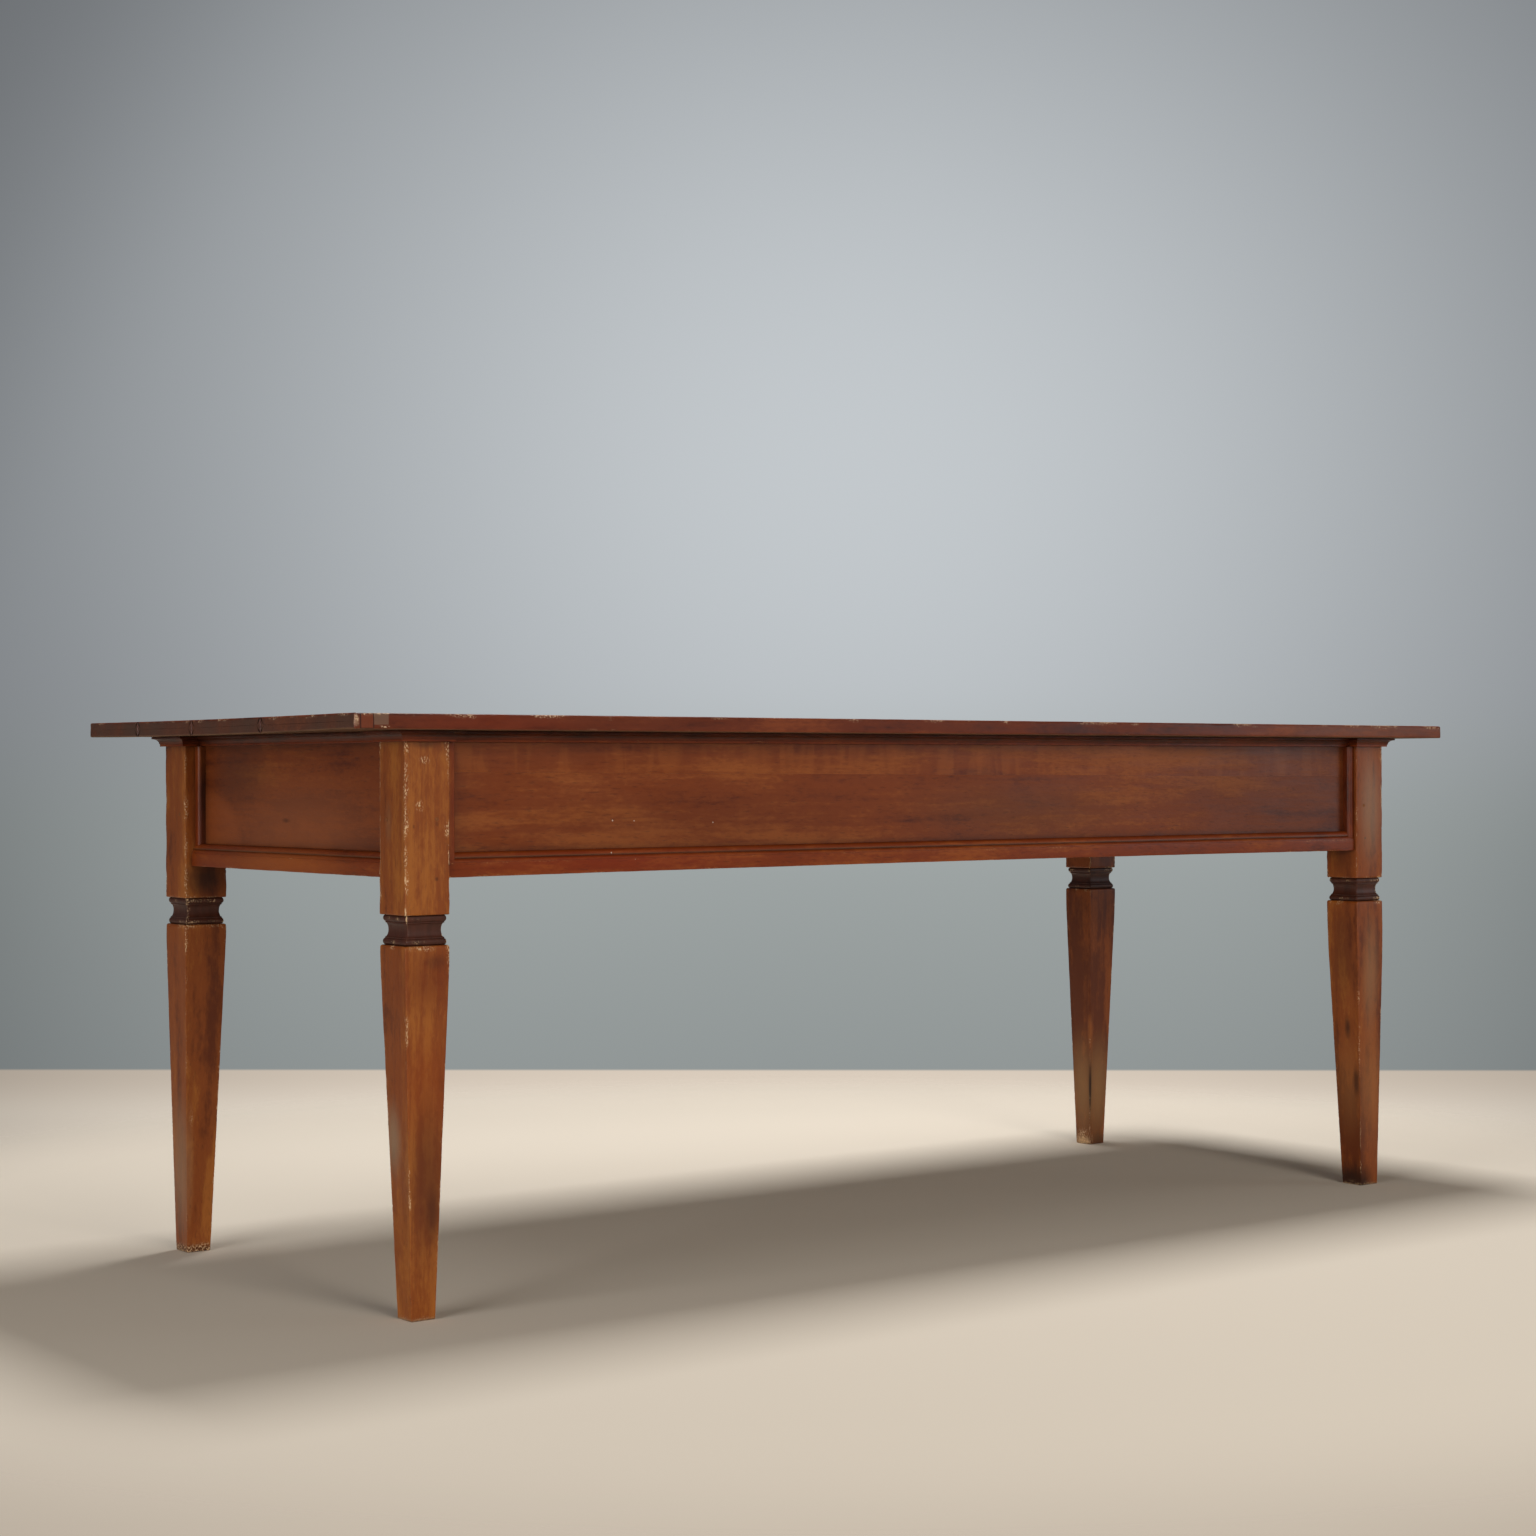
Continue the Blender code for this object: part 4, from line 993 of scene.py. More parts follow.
def wood(name, colours, *, figure=1.0, widths=(0.55, 24 * MM, 40 * MM), fine_share=0.14, bands=0.0,
         pale="c79a66", soil="1d0f09", stain="5e3122", raw=("6b4a33", "8a6748"), end="54382a",
         roughness=(0.34, 0.50), pores=0.3, wear=1.0, pits=0.0, gloss=0.28, marks=(), flakes=()):
    """Old wood: figure, pores, patina, grime and painted shade in the corners, worn arrises, marks with
    painted shade, light and sheen among them, and bare inner faces.
    """
    made = bpy.data.materials.new(name)
    made.use_nodes = True
    n = Nodes(made.node_tree)

    def read(label, field="Fac"):
        return n.add("ShaderNodeAttribute", attribute_name=label, attribute_type="GEOMETRY").outputs[field]

    def noise(sizes, detail=2.0, rough=0.5, distortion=0.0, shift=0.0):
        scale = tuple(1 / s for s in sizes)
        place = n.add("ShaderNodeMapping", {"Vector": grain, "Scale": scale, "Location": (shift,) * 3})
        return n.add("ShaderNodeTexNoise", {"Vector": place.outputs[0], "Scale": 1.0, "Detail": detail,
                                            "Roughness": rough, "Distortion": distortion}).outputs

    grain = read("grain", "Vector")
    worn, grime_and_shade_mask, bare, end_grain, tone, stained = (
        read(label) for label in ("wear", "soil", "raw", "end_grain", "tone", "stain"))
    soil = linear(soil)

    # Growth rings cut at a slant run as soft streaks along the grain
    rings = noise(widths, 4.0, 0.5, 0.6)[0]
    fine = noise((0.12, 2.6 * MM, 6 * MM), 3.0, 0.6, 0.2, 5.0)[0]
    blotch = noise((0.20, 0.10, 0.10), 3.0, 0.5, 0.4, 11.0)[0]
    mottle = noise((45 * MM, 14 * MM, 14 * MM), 4.0, 0.6, 0.5, 41.0)[0]
    grainy = noise((13 * MM, 5 * MM, 5 * MM), 3.0, 0.6, 0.3, 61.0)[0]
    value = n.times(fine, fine_share)
    for part, share in ((rings, RINGS_SHARE), (blotch, BLOTCH_SHARE), (mottle, MOTTLE_SHARE - fine_share / 2),
                        (n.minus(grainy, 0.5), GRAINY_SHARE), (tone, TONE_SHARE)):
        value = n.times_plus(part, share, value)
    value = n.times_plus(n.minus(value, 0.5 + fine_share / 4), figure, 0.5)
    ramp = n.add("ShaderNodeValToRGB", {0: value})
    ramp.color_ramp.interpolation = "EASE"
    stops = ramp.color_ramp.elements
    stops.new(COLOUR_STOPS[1])
    for stop, position, code in zip(stops, COLOUR_STOPS, colours):
        stop.position = position
        stop.color = (*linear(code), 1.0)
    colour = ramp.outputs[0]

    # Curl in the fibres, seen as soft bands across the grain
    if bands:
        curl = noise((30 * MM, 0.20, 0.20), 2.0, 0.5, 0.8, 17.0)[0]
        share = n.times(n.rise(curl, 0.45, 0.68), n.times(n.rise(tone, 0.0, 0.3), bands))
        colour = n.mix(share, colour, linear(colours[2]))

    # Pores are 0.2 mm wide and 5 to 10 mm long, drawn coarser so that they show
    pore = n.rise(noise((14 * MM, 0.8 * MM, 2.0 * MM), 1.0, 0.5, 0.0, 23.0)[0], 0.62, 0.74)
    colour = n.mix(n.times(pore, pores), colour, soil)

    # Dents a few millimetres wide, some of them dark with wax
    dent_place = n.add("ShaderNodeMapping", {"Vector": grain, "Scale": DENTS_PER_METRE,
                                             "Location": (3.0, 1.0, 2.0)})
    dents = n.add("ShaderNodeTexVoronoi", {"Vector": dent_place.outputs[0]})
    dent = n.rise(dents.outputs["Distance"], 0.04, 0.15, 1.0, 0.0)
    colour = n.mix(n.times(dent, n.rise(mottle, 0.40, 0.60, pits, 0.0)), colour, soil)

    # Stains, plugs, patches, flaked spots, and spots of painted shade, painted light and painted sheen lie at
    # their own places on the table
    object_place = n.add("ShaderNodeTexCoord").outputs["Object"]
    ragged = n.vector("SUBTRACT", noise((9 * MM,) * 3, 3.0, 0.6, 0.0, 47.0)[1], (0.5, 0.5, 0.5))

    def within(centre, radii, firm, strength):
        radii = tuple(radius * MM for radius in radii)
        local = n.add("ShaderNodeMapping", {"Vector": object_place, "Location": centre, "Scale": radii},
                      vector_type="TEXTURE").outputs[0]
        spread = min(1.1 - firm, 10 * MM / max(radii))
        local = n.vector("MULTIPLY_ADD", ragged, (spread,) * 3, local)
        if firm < 1.0:
            away = n.vector("LENGTH", local)
        else:
            parts = n.add("ShaderNodeSeparateXYZ", {0: n.vector("ABSOLUTE", local)}).outputs
            away = n.larger(n.larger(parts[0], parts[1]), parts[2])
        return n.rise(away, 1.0, firm * 0.94, 0.0, strength)

    for centre, radii, code, strength, firm in marks:
        colour = n.mix(within(centre, radii, firm, strength), colour, linear(code))
    flaked = 0.0
    for centre, radii, strength in flakes:
        flaked = n.larger(flaked, within(centre, radii, 0.2, strength))

    # Wax and dust darken the corners and the places no cloth reaches, and painted shade from the occlusion of
    # nearby surfaces darkens corners, creases and recesses as well
    corner = n.add("ShaderNodeAmbientOcclusion", {"Distance": 8 * MM}, samples=6)
    painted_occlusion_shade = n.rise(corner.outputs["AO"], 0.35, 0.92, 0.7, 0.0)
    cloud = n.rise(noise((60 * MM, 30 * MM, 30 * MM), 3.0, 0.6, 0.0, 29.0)[0], 0.25, 0.75, 0.5, 1.0)
    colour = n.mix(stained, colour, n.mix(mottle, linear(stain), soil))
    colour = n.mix(n.times(n.times(n.larger(grime_and_shade_mask, painted_occlusion_shade), cloud), 0.85), colour, soil)

    # Bare wood shows where the arrises are rubbed through, and in flecks beside them
    flake = noise((6 * MM, 2.4 * MM, 2.4 * MM), 3.0, 0.7, 0.0, 31.0)[0]
    line = n.rise(n.times_plus(n.minus(flake, 0.5), 0.9, worn), 0.66, 0.92)
    speck = n.rise(noise((2.8 * MM, 1.7 * MM, 1.7 * MM), 2.0, 0.6, 0.0, 53.0)[0], 0.54, 0.58)
    patch = n.rise(noise((55 * MM, 25 * MM, 25 * MM), 1.0, 0.5, 0.0, 59.0)[0], 0.52, 0.62)
    speck = n.times(speck, n.larger(n.times(patch, n.rise(worn, 0.16, 0.50)), flaked))
    bright = n.times(n.larger(line, speck), wear)
    colour = n.mix(bright, colour, linear(pale))

    # Inner faces and undersides never had any finish
    dry = n.mix(fine, linear(raw[0]), linear(raw[1]))
    dry = n.mix(n.times(n.rise(blotch, 0.3, 0.7), 0.45), dry, soil)
    colour = n.mix(bare, colour, dry)

    # End grain drinks the finish and turns dark, with the pores seen as dots
    dots = n.rise(noise((1.4 * MM,) * 3, 1.0, 0.5, 0.0, 37.0)[0], 0.50, 0.66)
    dark_end = n.mix(n.rise(blotch, 0.35, 0.65, 0.0, 0.4), linear(end), colour)
    dark_end = n.mix(n.times(dots, 0.35), dark_end, soil)
    shown_end = n.times(end_grain, n.times_plus(bright, -0.8, 1.0))
    colour = n.mix(shown_end, colour, dark_end)

    # Bare wood is duller than the shellac
    smooth = n.rise(n.times_plus(blotch, 0.6, n.times(fine, 0.4)), 0.3, 0.7, *roughness)
    rough = n.larger(n.larger(smooth, n.times(bare, 0.80)), n.times(bright, 0.62))

    # Pores, dents and the hollows that a plane and a scraper leave
    height = n.times_plus(pore, -0.5, n.times(fine, 0.35))
    height = n.times_plus(dent, -1.6, height)
    height = n.times_plus(mottle, 2.2, height)
    bump = n.add("ShaderNodeBump", {"Strength": 0.6, "Distance": RELIEF, "Height": height})

    shader = n.add("ShaderNodeBsdfPrincipled", {"Base Color": colour, "Roughness": rough,
                                                "Normal": bump.outputs[0], "IOR": 1.5,
                                                "Specular IOR Level": gloss})
    n.add("ShaderNodeOutputMaterial", {0: shader.outputs[0]})
    return made


# Marks as (centre, radii in millimetres, colour, strength, firmness from soft to square). A later mark
# lies over the ones before it
TOP_MARKS = (
    ((-1.032, -0.4, 0.77), (10.2, 12, 14), "2a1009", 0.85, 1.0),
    ((-1.032, -0.4, 0.77), (8.6, 11, 9.2), "7c3b20", 0.85, 1.0),
    ((-1.012, -0.4, 0.773), (10.6, 12, 8), "7f6553", 0.7, 1.0),
    ((-1.047, -0.4, 0.771), (5.5, 5, 9), "b08a6c", 0.6, 0.25),
    ((-0.86, -0.4, 0.77), (190, 10, 20), "7c2a04", 0.5, 0.1),
    # Painted sheen: the top's front edge greyer towards its right end
    ((0.85, -0.4, 0.77), (330, 10, 20), "7a4e36", 0.3, 0.1),
)
LEG_MARKS = (
    ((-0.905, -0.353, 0.568), (3.4, 3, 3.8), "4c220d", 0.65, 0.3),
    ((-0.9048, -0.353, 0.639), (3.4, 3, 4.6), "5a2c12", 0.5, 0.3),
    ((-0.939, -0.353, 0.636), (2.2, 3, 4.0), "5a2c12", 0.5, 0.3),
    ((0.9076, -0.353, 0.59), (2.4, 3, 2.6), "2c1309", 0.85, 0.5),
    ((-0.922, -0.353, 0.742), (24, 4, 9), "4a2410", 0.55, 0.1),
    ((-0.919, -0.345, 0.44), (60, 60, 70), "6a2404", 0.6, 0.1),
    ((-0.919, -0.345, 0.3), (60, 60, 100), "8a3a06", 0.5, 0.1),
    ((-0.906, -0.35, 0.462), (24, 12, 15), "4a1e0a", 0.5, 0.1),
    ((-0.907, -0.344, 0.14), (13, 20, 50), "471f0c", 0.75, 0.1),
    ((-0.944, -0.308, 0.232), (6, 26, 70), "9c8468", 0.6, 0.1),
    ((-0.952, -0.311, 0.64), (4, 12, 40), "7d5b42", 0.35, 0.1),
    ((-0.9388, -0.3375, 0.024), (1.6, 6, 19), "d9b48c", 0.8, 0.3),
    ((0.896, 0.3215, 0.003), (9, 30, 19), "caa57a", 0.9, 0.3),
    ((0.925, 0.298, 0.006), (44, 14, 22), "351a0c", 0.8, 0.3),
    ((-0.919, -0.32, 0.0), (60, 60, 5), "c49a70", 0.6, 0.3),
    ((-0.923, 0.323, 0.002), (70, 70, 14), "3a2012", 0.7, 0.3),
    ((-0.944, 0.32, 0.13), (16, 44, 140), "a07a58", 0.55, 0.1),
    ((0.919, -0.32, 0.445), (50, 50, 45), "3c1609", 0.4, 0.1),
    # Painted shade on the front right leg's inner face, under the table
    ((0.886, -0.32, 0.6), (6, 40, 110), "33120a", 0.65, 0.1),
    ((0.888, -0.32, 0.39), (9, 38, 130), "4a1f0a", 0.45, 0.1),
    # Painted sheen: the front right leg's front face made greyer
    ((0.922, -0.353, 0.64), (36, 4, 130), "a58468", 0.5, 0.1),
    ((0.922, -0.35, 0.36), (30, 14, 140), "9c7856", 0.5, 0.1),
    ((0.925, -0.324, 0.18), (50, 50, 150), "b87b46", 0.6, 0.1),
    ((0.898, -0.325, 0.0), (50, 80, 52), "1e0a04", 0.9, 0.3),
    ((0.893, -0.326, 0.268), (10, 9, 26), "33170a", 0.7, 0.2),
    ((0.896, -0.341, 0.178), (11, 8, 36), "33170a", 0.7, 0.2),
    ((0.896, -0.332, 0.32), (8, 16, 62), "b5652c", 0.4, 0.1),
    ((0.919, 0.32, 0.44), (50, 50, 60), "33180d", 0.55, 0.1),
    ((0.916, 0.32, 0.11), (50, 50, 150), "b08452", 0.7, 0.1),
    ((0.893, 0.296, 0.215), (10, 10, 42), "b0672f", 0.5, 0.1),
    ((0.8965, 0.2995, 0.095), (5, 5, 90), "1e0d06", 0.9, 0.3),
    # Painted shadow on the back left leg's front face, under the apron and the top
    ((-0.919, 0.287, 0.55), (50, 9, 44), "200b04", 0.85, 0.1),
    ((-0.915, -0.34, 0.18), (40, 30, 160), "521f06", 0.7, 0.1),
)
APRON_MARKS = (
    # Painted light: the left end apron lightened for the light that falls on that end
    ((-0.9255, -0.02, 0.625), (20, 360, 110), "a35c34", 0.6, 0.1),
    # Painted shade at the top of the left end apron, under the top's overhang
    ((-0.9255, 0.17, 0.7), (20, 150, 62), "3f2417", 0.45, 0.1),
    ((-0.9255, 0.262, 0.585), (20, 118, 105), "9c5228", 0.45, 0.8),
    ((-0.9255, 0.0227, 0.639), (8, 17, 4.5), "42200f", 0.6, 0.1),
    # Painted sheen: the front apron greyer towards its right end
    ((0.75, -0.3345, 0.66), (520, 20, 130), "43271b", 0.35, 0.1),
    ((-0.62, -0.3345, 0.6397), (1.3, 3, 1.3), "e8dccb", 0.9, 0.6),
    ((-0.5844, -0.3345, 0.6387), (1.0, 3, 1.0), "e8dccb", 0.9, 0.6),
    ((-0.4511, -0.3345, 0.6348), (1.1, 3, 1.1), "e8dccb", 0.9, 0.6),
    # Painted sheen: the front apron greyer from its middle
    ((0.13, -0.3345, 0.645), (330, 20, 70), "4e3420", 0.35, 0.1),
    ((-0.45, -0.3345, 0.635), (440, 20, 60), "4f2008", 0.3, 0.1),
    # Painted sheen and shade: the front apron greyer and darker at the top of its right end
    ((0.76, -0.3345, 0.74), (420, 20, 40), "3c2416", 0.25, 0.1),
)
MOULDING_MARKS = (
    # Painted light: the left end's lower moulding lightened for the light that falls on that end
    ((-0.935, 0.0, 0.58), (14, 330, 24), "b06028", 0.6, 0.4),
    ((-0.62, -0.345, 0.585), (330, 14, 24), "801e00", 0.45, 0.1),
    # Painted shade on the corner strip beside the back left leg, on the left end
    ((-0.925, 0.275, 0.665), (16, 14, 100), "2a0d04", 0.7, 0.2),
    ((-0.6285, -0.34, 0.5964), (1.2, 12, 1.2), "e8dccb", 0.9, 0.6),
    ((-0.592, -0.34, 0.5868), (1.2, 12, 1.2), "e8dccb", 0.9, 0.6),
)

# Places where the finish has flaked off in specks, as (centre, radii in millimetres, strength)
TOP_FLAKES = (
    ((-1.0475, -0.4, 0.771), (6, 6, 9), 1.0),
    ((-1.009, -0.4, 0.7625), (11, 6, 2.4), 1.0),
    ((-1.05, -0.151, 0.7625), (6, 7, 2.2), 1.0),
)
LEG_FLAKES = (
    ((-0.93, -0.353, 0.6625), (7, 4, 9), 1.0),
    ((-0.9237, -0.353, 0.7213), (10, 4, 7), 0.9),
    ((-0.89, -0.353, 0.6312), (6, 6, 14), 1.0),
    ((-0.889, -0.353, 0.74), (5, 6, 18), 0.9),
    ((-0.95, -0.353, 0.738), (5, 5, 14), 1.0),
    ((-0.951, -0.353, 0.595), (4, 5, 22), 1.0),
    ((-0.925, -0.353, 0.48), (20, 6, 6), 0.9),
    ((-0.919, -0.353, 0.5035), (30, 6, 3), 0.5),
    ((0.9, 0.3215, 0.006), (14, 30, 30), 1.0),
    ((-0.923, 0.323, 0.004), (70, 70, 12), 1.0),
    ((-0.9385, 0.3005, 0.203), (5, 5, 30), 1.0),
    ((0.925, -0.325, 0.0), (80, 80, 6), 1.0),
    ((0.925, -0.325, 0.0), (30, 30, 16), 0.9),
    ((-0.919, -0.32, 0.0), (30, 30, 10), 0.8),
    ((-0.923, 0.323, 0.0), (30, 30, 10), 0.8),
)


def waxed_walnut_top(name):
    """Walnut boards, planed, shellacked and waxed for a century: brown, with a dull even sheen."""
    return wood(name, ("471a0a", "682b11", "85401d"), figure=1.0, pale="d9b894",
                marks=TOP_MARKS, flakes=TOP_FLAKES)


def shellacked_walnut_legs(name):
    """Walnut legs, sawn, planed and shellacked: golden where light and hands reach, pale at the arrises."""
    return wood(name, ("652d0e", "8b4618", "a66125"), figure=1.1, widths=(0.5, 30 * MM, 34 * MM),
                fine_share=0.10, pale="e4bf92", pores=0.25, pits=0.5, marks=LEG_MARKS, flakes=LEG_FLAKES)


def shellacked_walnut_aprons(name):
    """Plain sawn walnut boards under shellac: red brown, with a soft figure and a low sheen."""
    return wood(name, ("57210a", "7b3811", "95501f"), bands=0.5, pale="b98556", marks=APRON_MARKS)


def shellacked_walnut_mouldings(name):
    """Walnut mouldings, run with a plane and shellacked: red on their rounds, black in their quirks."""
    return wood(name, ("501c07", "7a320d", "964c1a"), figure=0.9, pale="c9935f", soil="170a05",
                gloss=0.25, marks=MOULDING_MARKS)


def planed_poplar(name):
    """Poplar rails and blocks, sawn and planed and left bare: dull, and browned by age."""
    return wood(name, ("6d4f34", "8f6d4a", "a98a63"), figure=0.9, pale="b39871", soil="3a2a1d", pores=0.15,
                roughness=(0.7, 0.85), end="6b4c33", wear=0.4)


def peg_end_grain(name):
    """Whittled pegs seen end on, darkened by wax."""
    return wood(name, ("6b3a18", "7d4820", "8f5a2c"), figure=0.8, pale="8a6040", end="8a5026", soil="5a2f16",
                wear=0.2)


FINISHES = {made.__name__: made for made in (
    waxed_walnut_top, shellacked_walnut_legs, shellacked_walnut_aprons, shellacked_walnut_mouldings,
    planed_poplar, peg_end_grain)}


# Stage

# The camera as it was solved from the photograph, its angles in radians and its lens in millimetres
CAMERA_PLACE = (-2.6732, -3.3537, 0.7046)
CAMERA_YAW = 0.6550
CAMERA_PITCH = 0.00152
CAMERA_ROLL = -0.0028
CAMERA_LENS = 63.057

# The real floor is solid near the table, fades into the painted one, and has painted light that makes it
# brighter towards the wall
FLOOR_RADIUS = 2.04
FLOOR_SOLID = 1.40
FLOOR_CORNERS = 96
PAINTED_LIGHT_TOWARDS = (0.35, 1.0, 0.0)
PAINTED_LIGHT_RANGE = (0.1, 1.2)
PAINTED_LIGHT_SHARE = 1.22

# What the world paints, placed by the slope above the level and across from straight ahead.
# The wall meets the floor on a line that is a little off level
WALL_FOOT_SLOPE = -0.11075
WALL_FOOT_BLUR = 0.0005
WALL_SKEW = 0.00334
WALL_DARK = "626569"
GLOW_CENTRE = (0.035, 0.117)
GLOW_SPREAD = (0.290, 0.256)

# Under the table's height a broader glow takes over between two slopes
LOW_GLOW_RANGE = (0.035, -0.045)
LOW_GLOW_MIDDLE = 0.015
LOW_GLOW_SPREAD = 0.31
LOW_GLOW_SHARE = 0.50
LOW_GLOW_BASE = 0.05
LOW_GLOW_RISE = 3.6
LOW_WALL_TINT = (0.975, 1.0, 0.945)
LOW_TINT_RANGE = (0.04, -0.03)

# The upper left corner, as a range of slope times a slant less the place across
CORNER_SLANT = 0.6
CORNER_RANGE = (0.31, 0.46)
CORNER_SHADE = 0.80

# The painted floor from the wall's foot towards the eye, between two slopes for each change, and how it
# darkens to both sides with the square of the place across, down to its darkest share
FLOOR_AT_WALL = "daccbc"
FLOOR_BRIGHT = "f0e4d4"
FLOOR_BRIGHT_RANGE = (-0.111, -0.129)
FLOOR_NEAR = "c6b9a9"
FLOOR_NEAR_RANGE = (-0.15, -0.29)
FLOOR_MIDDLE = 0.02
FLOOR_SIDES_RANGE = (-0.24, -0.13)
FLOOR_SIDES = (-1.2, -4.3)
FLOOR_DARKEST = 0.6

# The plain light that the world gives to all but the eye
AMBIENT = "3a342e"

# Soft lamps as (name, place, the point it faces, width and height, setting for its power, tint)
PLAIN = (1.0, 1.0, 1.0)
WARM = (1.0, 0.95, 0.88)
COOL = (0.93, 1.0, 1.06)
LAMPS = (
    ("overhead_lamp", (0.72, 0.59, 4.07), (0.72, 0.59, 0.0), (0.93, 1.33), "key", PLAIN),
    ("front_lamp", (-0.62, -4.99, 2.23), (0.0, 0.0, 0.3), (1.7, 1.7), "fill", WARM),
    ("low_front_lamp", (-1.5, -5.3, 1.45), (0.0, 0.0, 0.4), (2.4, 1.3), "low_fill", WARM),
    ("left_lamp", (-5.2, -1.2, 0.95), (-0.9, 0.0, 0.45), (2.4, 1.2), "left", PLAIN),
    ("high_left_lamp", (-3.25, -0.99, 4.32), (0.0, 0.0, 0.3), (1.5, 1.5), "high_left", PLAIN),
    ("side_lamp", (4.8, -3.8, 1.3), (0.6, 0.0, 0.6), (2.4, 1.6), "side", COOL),
)


def make_world(settings):
    """A backdrop and a far floor painted by direction for the eye, and a plain soft light for the rest."""
    world = bpy.data.worlds.new("studio")
    bpy.context.scene.world = world
    world.use_nodes = True
    n = Nodes(world.node_tree)
    direction = n.add("ShaderNodeTexCoord").outputs["Generated"]
    ahead = Vector((math.sin(CAMERA_YAW), math.cos(CAMERA_YAW), 0.0))
    beside = Vector((math.cos(CAMERA_YAW), -math.sin(CAMERA_YAW), 0.0))
    forward = n.larger(n.vector("DOT_PRODUCT", direction, ahead), 0.9)
    across = n.over(n.vector("DOT_PRODUCT", direction, beside), forward)
    rising = n.over(n.vector("DOT_PRODUCT", direction, (0.0, 0.0, 1.0)), forward)
    slope = n.times_plus(across, WALL_SKEW, rising)

    # The wall is brightest above the table and falls off evenly all round
    aside = n.over(n.minus(across, GLOW_CENTRE[0]), GLOW_SPREAD[0])
    above = n.over(n.minus(slope, GLOW_CENTRE[1]), GLOW_SPREAD[1])
    away = n.times_plus(aside, aside, n.times(above, above))
    glow = n.maths("EXPONENT", n.times(away, -1.0))

    # Under the table's height it is lit more evenly, and the upper left corner is darker
    beyond = n.over(n.minus(across, LOW_GLOW_MIDDLE), LOW_GLOW_SPREAD)
    beyond = n.times(beyond, beyond)
    sinking = n.times(n.plus(slope, LOW_GLOW_BASE), LOW_GLOW_RISE)
    broad = n.maths("EXPONENT", n.minus(sinking, n.times(beyond, beyond)))
    evened = n.minus(n.times(broad, LOW_GLOW_SHARE), glow)
    glow = n.times_plus(n.rise(slope, *LOW_GLOW_RANGE), evened, glow)
    wall = n.mix(glow, linear(WALL_DARK), tuple(settings.wall))
    cornerwards = n.times_plus(slope, CORNER_SLANT, n.times(across, -1.0))
    wall = n.vector("SCALE", wall, n.rise(cornerwards, *CORNER_RANGE, 1.0, CORNER_SHADE))
    wall = n.vector("MULTIPLY", wall, n.mix(n.rise(slope, *LOW_TINT_RANGE), (1.0, 1.0, 1.0), LOW_WALL_TINT))

    # The floor is brightest a little in front of the wall's foot
    ground = n.mix(n.rise(slope, *FLOOR_BRIGHT_RANGE), linear(FLOOR_AT_WALL), linear(FLOOR_BRIGHT))
    ground = n.mix(n.rise(slope, *FLOOR_NEAR_RANGE), ground, linear(FLOOR_NEAR))
    off_middle = n.minus(across, FLOOR_MIDDLE)
    darkening = n.rise(slope, *FLOOR_SIDES_RANGE, *FLOOR_SIDES)
    falloff = n.times_plus(n.times(off_middle, off_middle), darkening, 1.0)
    ground = n.vector("SCALE", ground, n.larger(falloff, FLOOR_DARKEST))
    over_foot = n.rise(slope, WALL_FOOT_SLOPE - WALL_FOOT_BLUR, WALL_FOOT_SLOPE + WALL_FOOT_BLUR)
    painted = n.mix(over_foot, ground, wall)

    # Polished wood reflects the wall and the floor as the eye sees them
    path = n.add("ShaderNodeLightPath").outputs
    seen = n.larger(path["Is Camera Ray"], path["Is Glossy Ray"])
    background = n.add("ShaderNodeBackground", {"Color": n.mix(seen, linear(AMBIENT), painted),
                                                "Strength": 1.0})
    n.add("ShaderNodeOutputWorld", {0: background.outputs[0]})


def make_floor(settings):
    """A round pale floor that fades into the painted one, and can't be seen from below."""
    made = bpy.data.meshes.new("floor")
    angles = [2 * math.pi * i / FLOOR_CORNERS for i in range(FLOOR_CORNERS)]
    ring = [(FLOOR_RADIUS * math.cos(angle), FLOOR_RADIUS * math.sin(angle), 0.0) for angle in angles]
    made.from_pydata(ring, [], [tuple(range(FLOOR_CORNERS))])
    floor = bpy.data.objects.new("floor", made)
    bpy.context.scene.collection.objects.link(floor)
    finish = bpy.data.materials.new("painted_concrete_floor")
    finish.use_nodes = True
    n = Nodes(finish.node_tree)
    place = n.add("ShaderNodeTexCoord").outputs["Object"]
    solid = n.rise(n.vector("LENGTH", place), FLOOR_SOLID, FLOOR_RADIUS, 1.0, 0.0)
    front = n.minus(1.0, n.add("ShaderNodeNewGeometry").outputs["Backfacing"])
    # It is painted brighter towards the wall, for the light that the wall throws on it
    painted_wall_light = n.rise(n.vector("DOT_PRODUCT", place, PAINTED_LIGHT_TOWARDS), *PAINTED_LIGHT_RANGE, 1.0, PAINTED_LIGHT_SHARE)
    tint = n.vector("SCALE", tuple(settings.floor)[:3], painted_wall_light)
    matte = n.add("ShaderNodeBsdfDiffuse", {"Color": tint})
    clear = n.add("ShaderNodeBsdfTransparent")
    both = n.add("ShaderNodeMixShader", {0: n.times(solid, front), 1: clear.outputs[0],
                                         2: matte.outputs[0]})
    n.add("ShaderNodeOutputMaterial", {0: both.outputs[0]})
    made.materials.append(finish)


def add_lamp(name, place, target, size, power, tint):
    """A rectangular soft lamp that faces a point."""
    lamp = bpy.data.lights.new(name, "AREA")
    lamp.shape = "RECTANGLE"
    lamp.size, lamp.size_y = size
    lamp.energy = power
    lamp.color = tint
    holder = bpy.data.objects.new(name, lamp)
    holder.location = place
    holder.visible_camera = False
    holder.rotation_euler = (Vector(target) - Vector(place)).to_track_quat("-Z", "Y").to_euler()
    bpy.context.scene.collection.objects.link(holder)


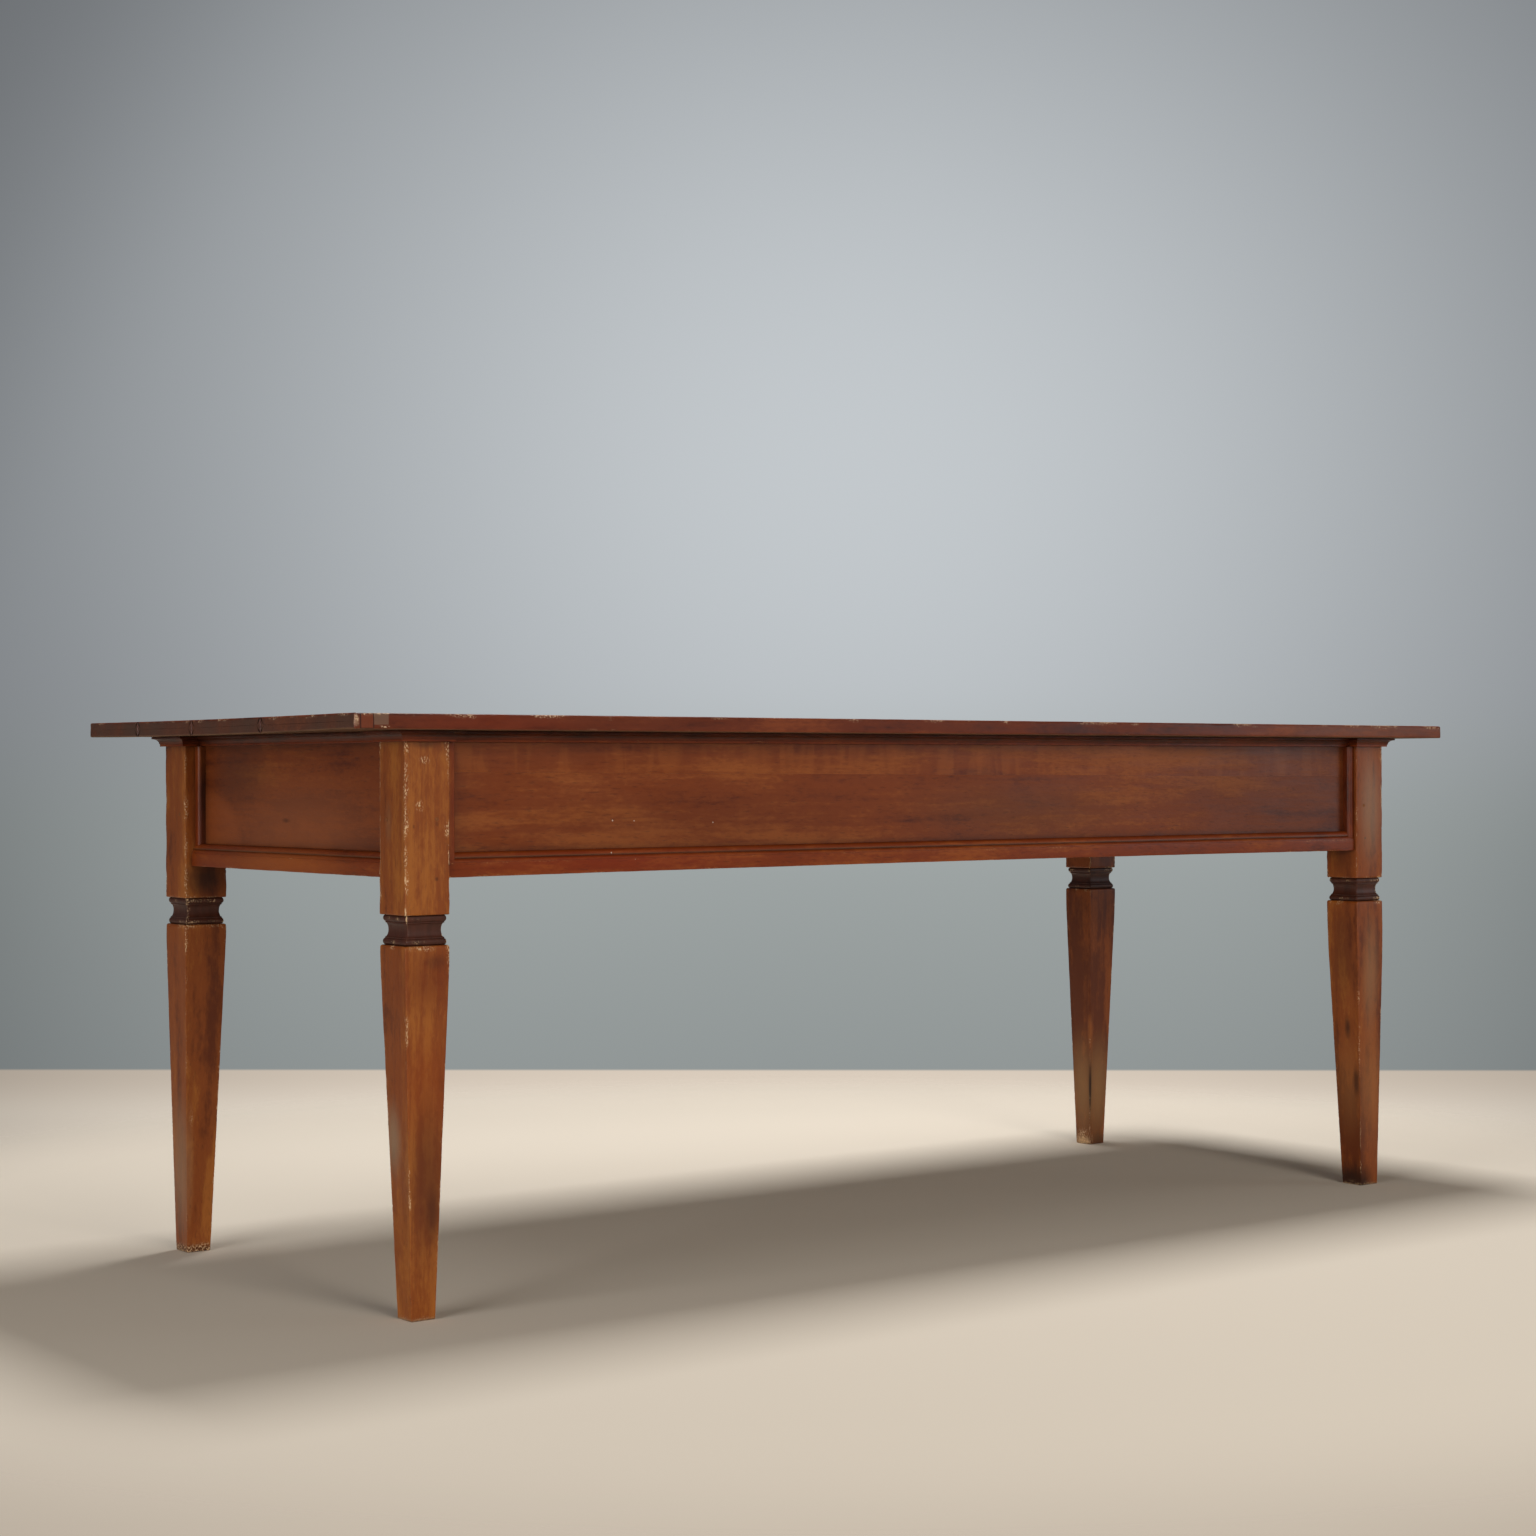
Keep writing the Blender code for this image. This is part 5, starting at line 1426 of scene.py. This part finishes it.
def make_camera():
    """The camera at the photograph's place, a sixth of a degree off level."""
    data = bpy.data.cameras.new("camera")
    data.lens = CAMERA_LENS
    data.sensor_width = 36.0
    camera = bpy.data.objects.new("camera", data)
    camera.location = CAMERA_PLACE
    aim = Matrix.Rotation(-CAMERA_YAW, 3, "Z") @ Matrix.Rotation(math.pi / 2 + CAMERA_PITCH, 3, "X")
    camera.rotation_euler = (aim @ Matrix.Rotation(CAMERA_ROLL, 3, "Z")).to_euler()
    bpy.context.scene.collection.objects.link(camera)
    bpy.context.scene.camera = camera


# Operators

class WALNUT_OT_stage(bpy.types.Operator):
    """Make the floor, the backdrop, the lamps and the camera"""
    bl_idname = "walnut_table.stage"
    bl_label = "Stage"

    def execute(self, context):
        settings = context.scene.walnut_stage
        make_world(settings)
        make_floor(settings)
        for name, place, target, size, setting, tint in LAMPS:
            add_lamp(name, place, target, size, getattr(settings, setting), tint)
        make_camera()
        context.scene.view_settings.view_transform = "Standard"
        return {"FINISHED"}


class WALNUT_OT_top(bpy.types.Operator):
    """Make the four boards of the top"""
    bl_idname = "walnut_table.top"
    bl_label = "Top boards"

    def execute(self, context):
        for name in TOP_BOARDS:
            make_top_board(name, context.scene.walnut_top)
        return {"FINISHED"}


class WALNUT_OT_legs(bpy.types.Operator):
    """Make the four legs"""
    bl_idname = "walnut_table.legs"
    bl_label = "Legs"

    def execute(self, context):
        for leg in LEGS:
            make_leg(leg, context.scene.walnut_legs)
        return {"FINISHED"}


class WALNUT_OT_pegs(bpy.types.Operator):
    """Make the pegs that lock the tenons"""
    bl_idname = "walnut_table.pegs"
    bl_label = "Pegs"

    def execute(self, context):
        for leg, sides in LEGS.items():
            for side in sides:
                make_peg(leg, side)
        return {"FINISHED"}


class WALNUT_OT_aprons(bpy.types.Operator):
    """Make the apron boards"""
    bl_idname = "walnut_table.aprons"
    bl_label = "Aprons"

    def execute(self, context):
        for node in sorted(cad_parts):
            if node.startswith("apron_"):
                make_apron_board(node, node.split("_")[1], context.scene.walnut_frame)
        return {"FINISHED"}


class WALNUT_OT_lower_mouldings(bpy.types.Operator):
    """Make the mouldings along the feet of the aprons"""
    bl_idname = "walnut_table.lower_mouldings"
    bl_label = "Lower mouldings"

    def execute(self, context):
        for side in SIDES:
            make_lower_moulding(side, context.scene.walnut_frame)
        return {"FINISHED"}


class WALNUT_OT_corner_strips(bpy.types.Operator):
    """Make the upright strips at the ends of the aprons"""
    bl_idname = "walnut_table.corner_strips"
    bl_label = "Corner strips"

    def execute(self, context):
        for side in SIDES:
            make_corner_strip(side, "start", -1, context.scene.walnut_frame)
            make_corner_strip(side, "end", 1, context.scene.walnut_frame)
        return {"FINISHED"}


class WALNUT_OT_cornice(bpy.types.Operator):
    """Make the cornice under the top"""
    bl_idname = "walnut_table.cornice"
    bl_label = "Cornice"

    def execute(self, context):
        make_cornice(context.scene.walnut_frame)
        return {"FINISHED"}


class WALNUT_OT_inner_frame(bpy.types.Operator):
    """Make the cross rails and the glue blocks"""
    bl_idname = "walnut_table.inner_frame"
    bl_label = "Inner frame"

    def execute(self, context):
        for name in ("left", "right"):
            make_cross_rail(name, context.scene.walnut_frame)
        for node in sorted(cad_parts):
            if node.startswith("glue_block_"):
                make_glue_block(node, context.scene.walnut_frame)
        return {"FINISHED"}


class WALNUT_PT_panel(bpy.types.Panel):
    """Lists the table's pieces"""
    bl_idname = "WALNUT_PT_panel"
    bl_label = "Walnut table"
    bl_space_type = "VIEW_3D"
    bl_region_type = "UI"
    bl_category = "Walnut table"

    def draw(self, context):
        layout = self.layout
        for operator in OPERATORS:
            layout.operator(operator.bl_idname)
        for owner in SETTINGS:
            group = getattr(context.scene, owner)
            for name in group.__annotations__:
                layout.prop(group, name)


OPERATORS = (WALNUT_OT_stage, WALNUT_OT_top, WALNUT_OT_legs, WALNUT_OT_pegs, WALNUT_OT_aprons,
             WALNUT_OT_lower_mouldings, WALNUT_OT_corner_strips, WALNUT_OT_cornice, WALNUT_OT_inner_frame)
SETTINGS = {"walnut_top": TopSettings, "walnut_legs": LegSettings, "walnut_frame": FrameSettings,
            "walnut_stage": StageSettings}


def register():
    """Make the classes and the scene's settings known to Blender."""
    for group in SETTINGS.values():
        bpy.utils.register_class(group)
    for name, group in SETTINGS.items():
        setattr(bpy.types.Scene, name, PointerProperty(type=group))
    for operator in OPERATORS:
        bpy.utils.register_class(operator)
    bpy.utils.register_class(WALNUT_PT_panel)


def unregister():
    """Take back what register made known."""
    bpy.utils.unregister_class(WALNUT_PT_panel)
    for operator in reversed(OPERATORS):
        bpy.utils.unregister_class(operator)
    for name, group in SETTINGS.items():
        delattr(bpy.types.Scene, name)
        bpy.utils.unregister_class(group)


def main():
    """Register the add-on and make every group of pieces in order."""
    register()
    bpy.ops.walnut_table.stage()
    bpy.ops.walnut_table.top()
    bpy.ops.walnut_table.legs()
    bpy.ops.walnut_table.pegs()
    bpy.ops.walnut_table.aprons()
    bpy.ops.walnut_table.lower_mouldings()
    bpy.ops.walnut_table.corner_strips()
    bpy.ops.walnut_table.cornice()
    bpy.ops.walnut_table.inner_frame()


if __name__ == "__main__":
    main()
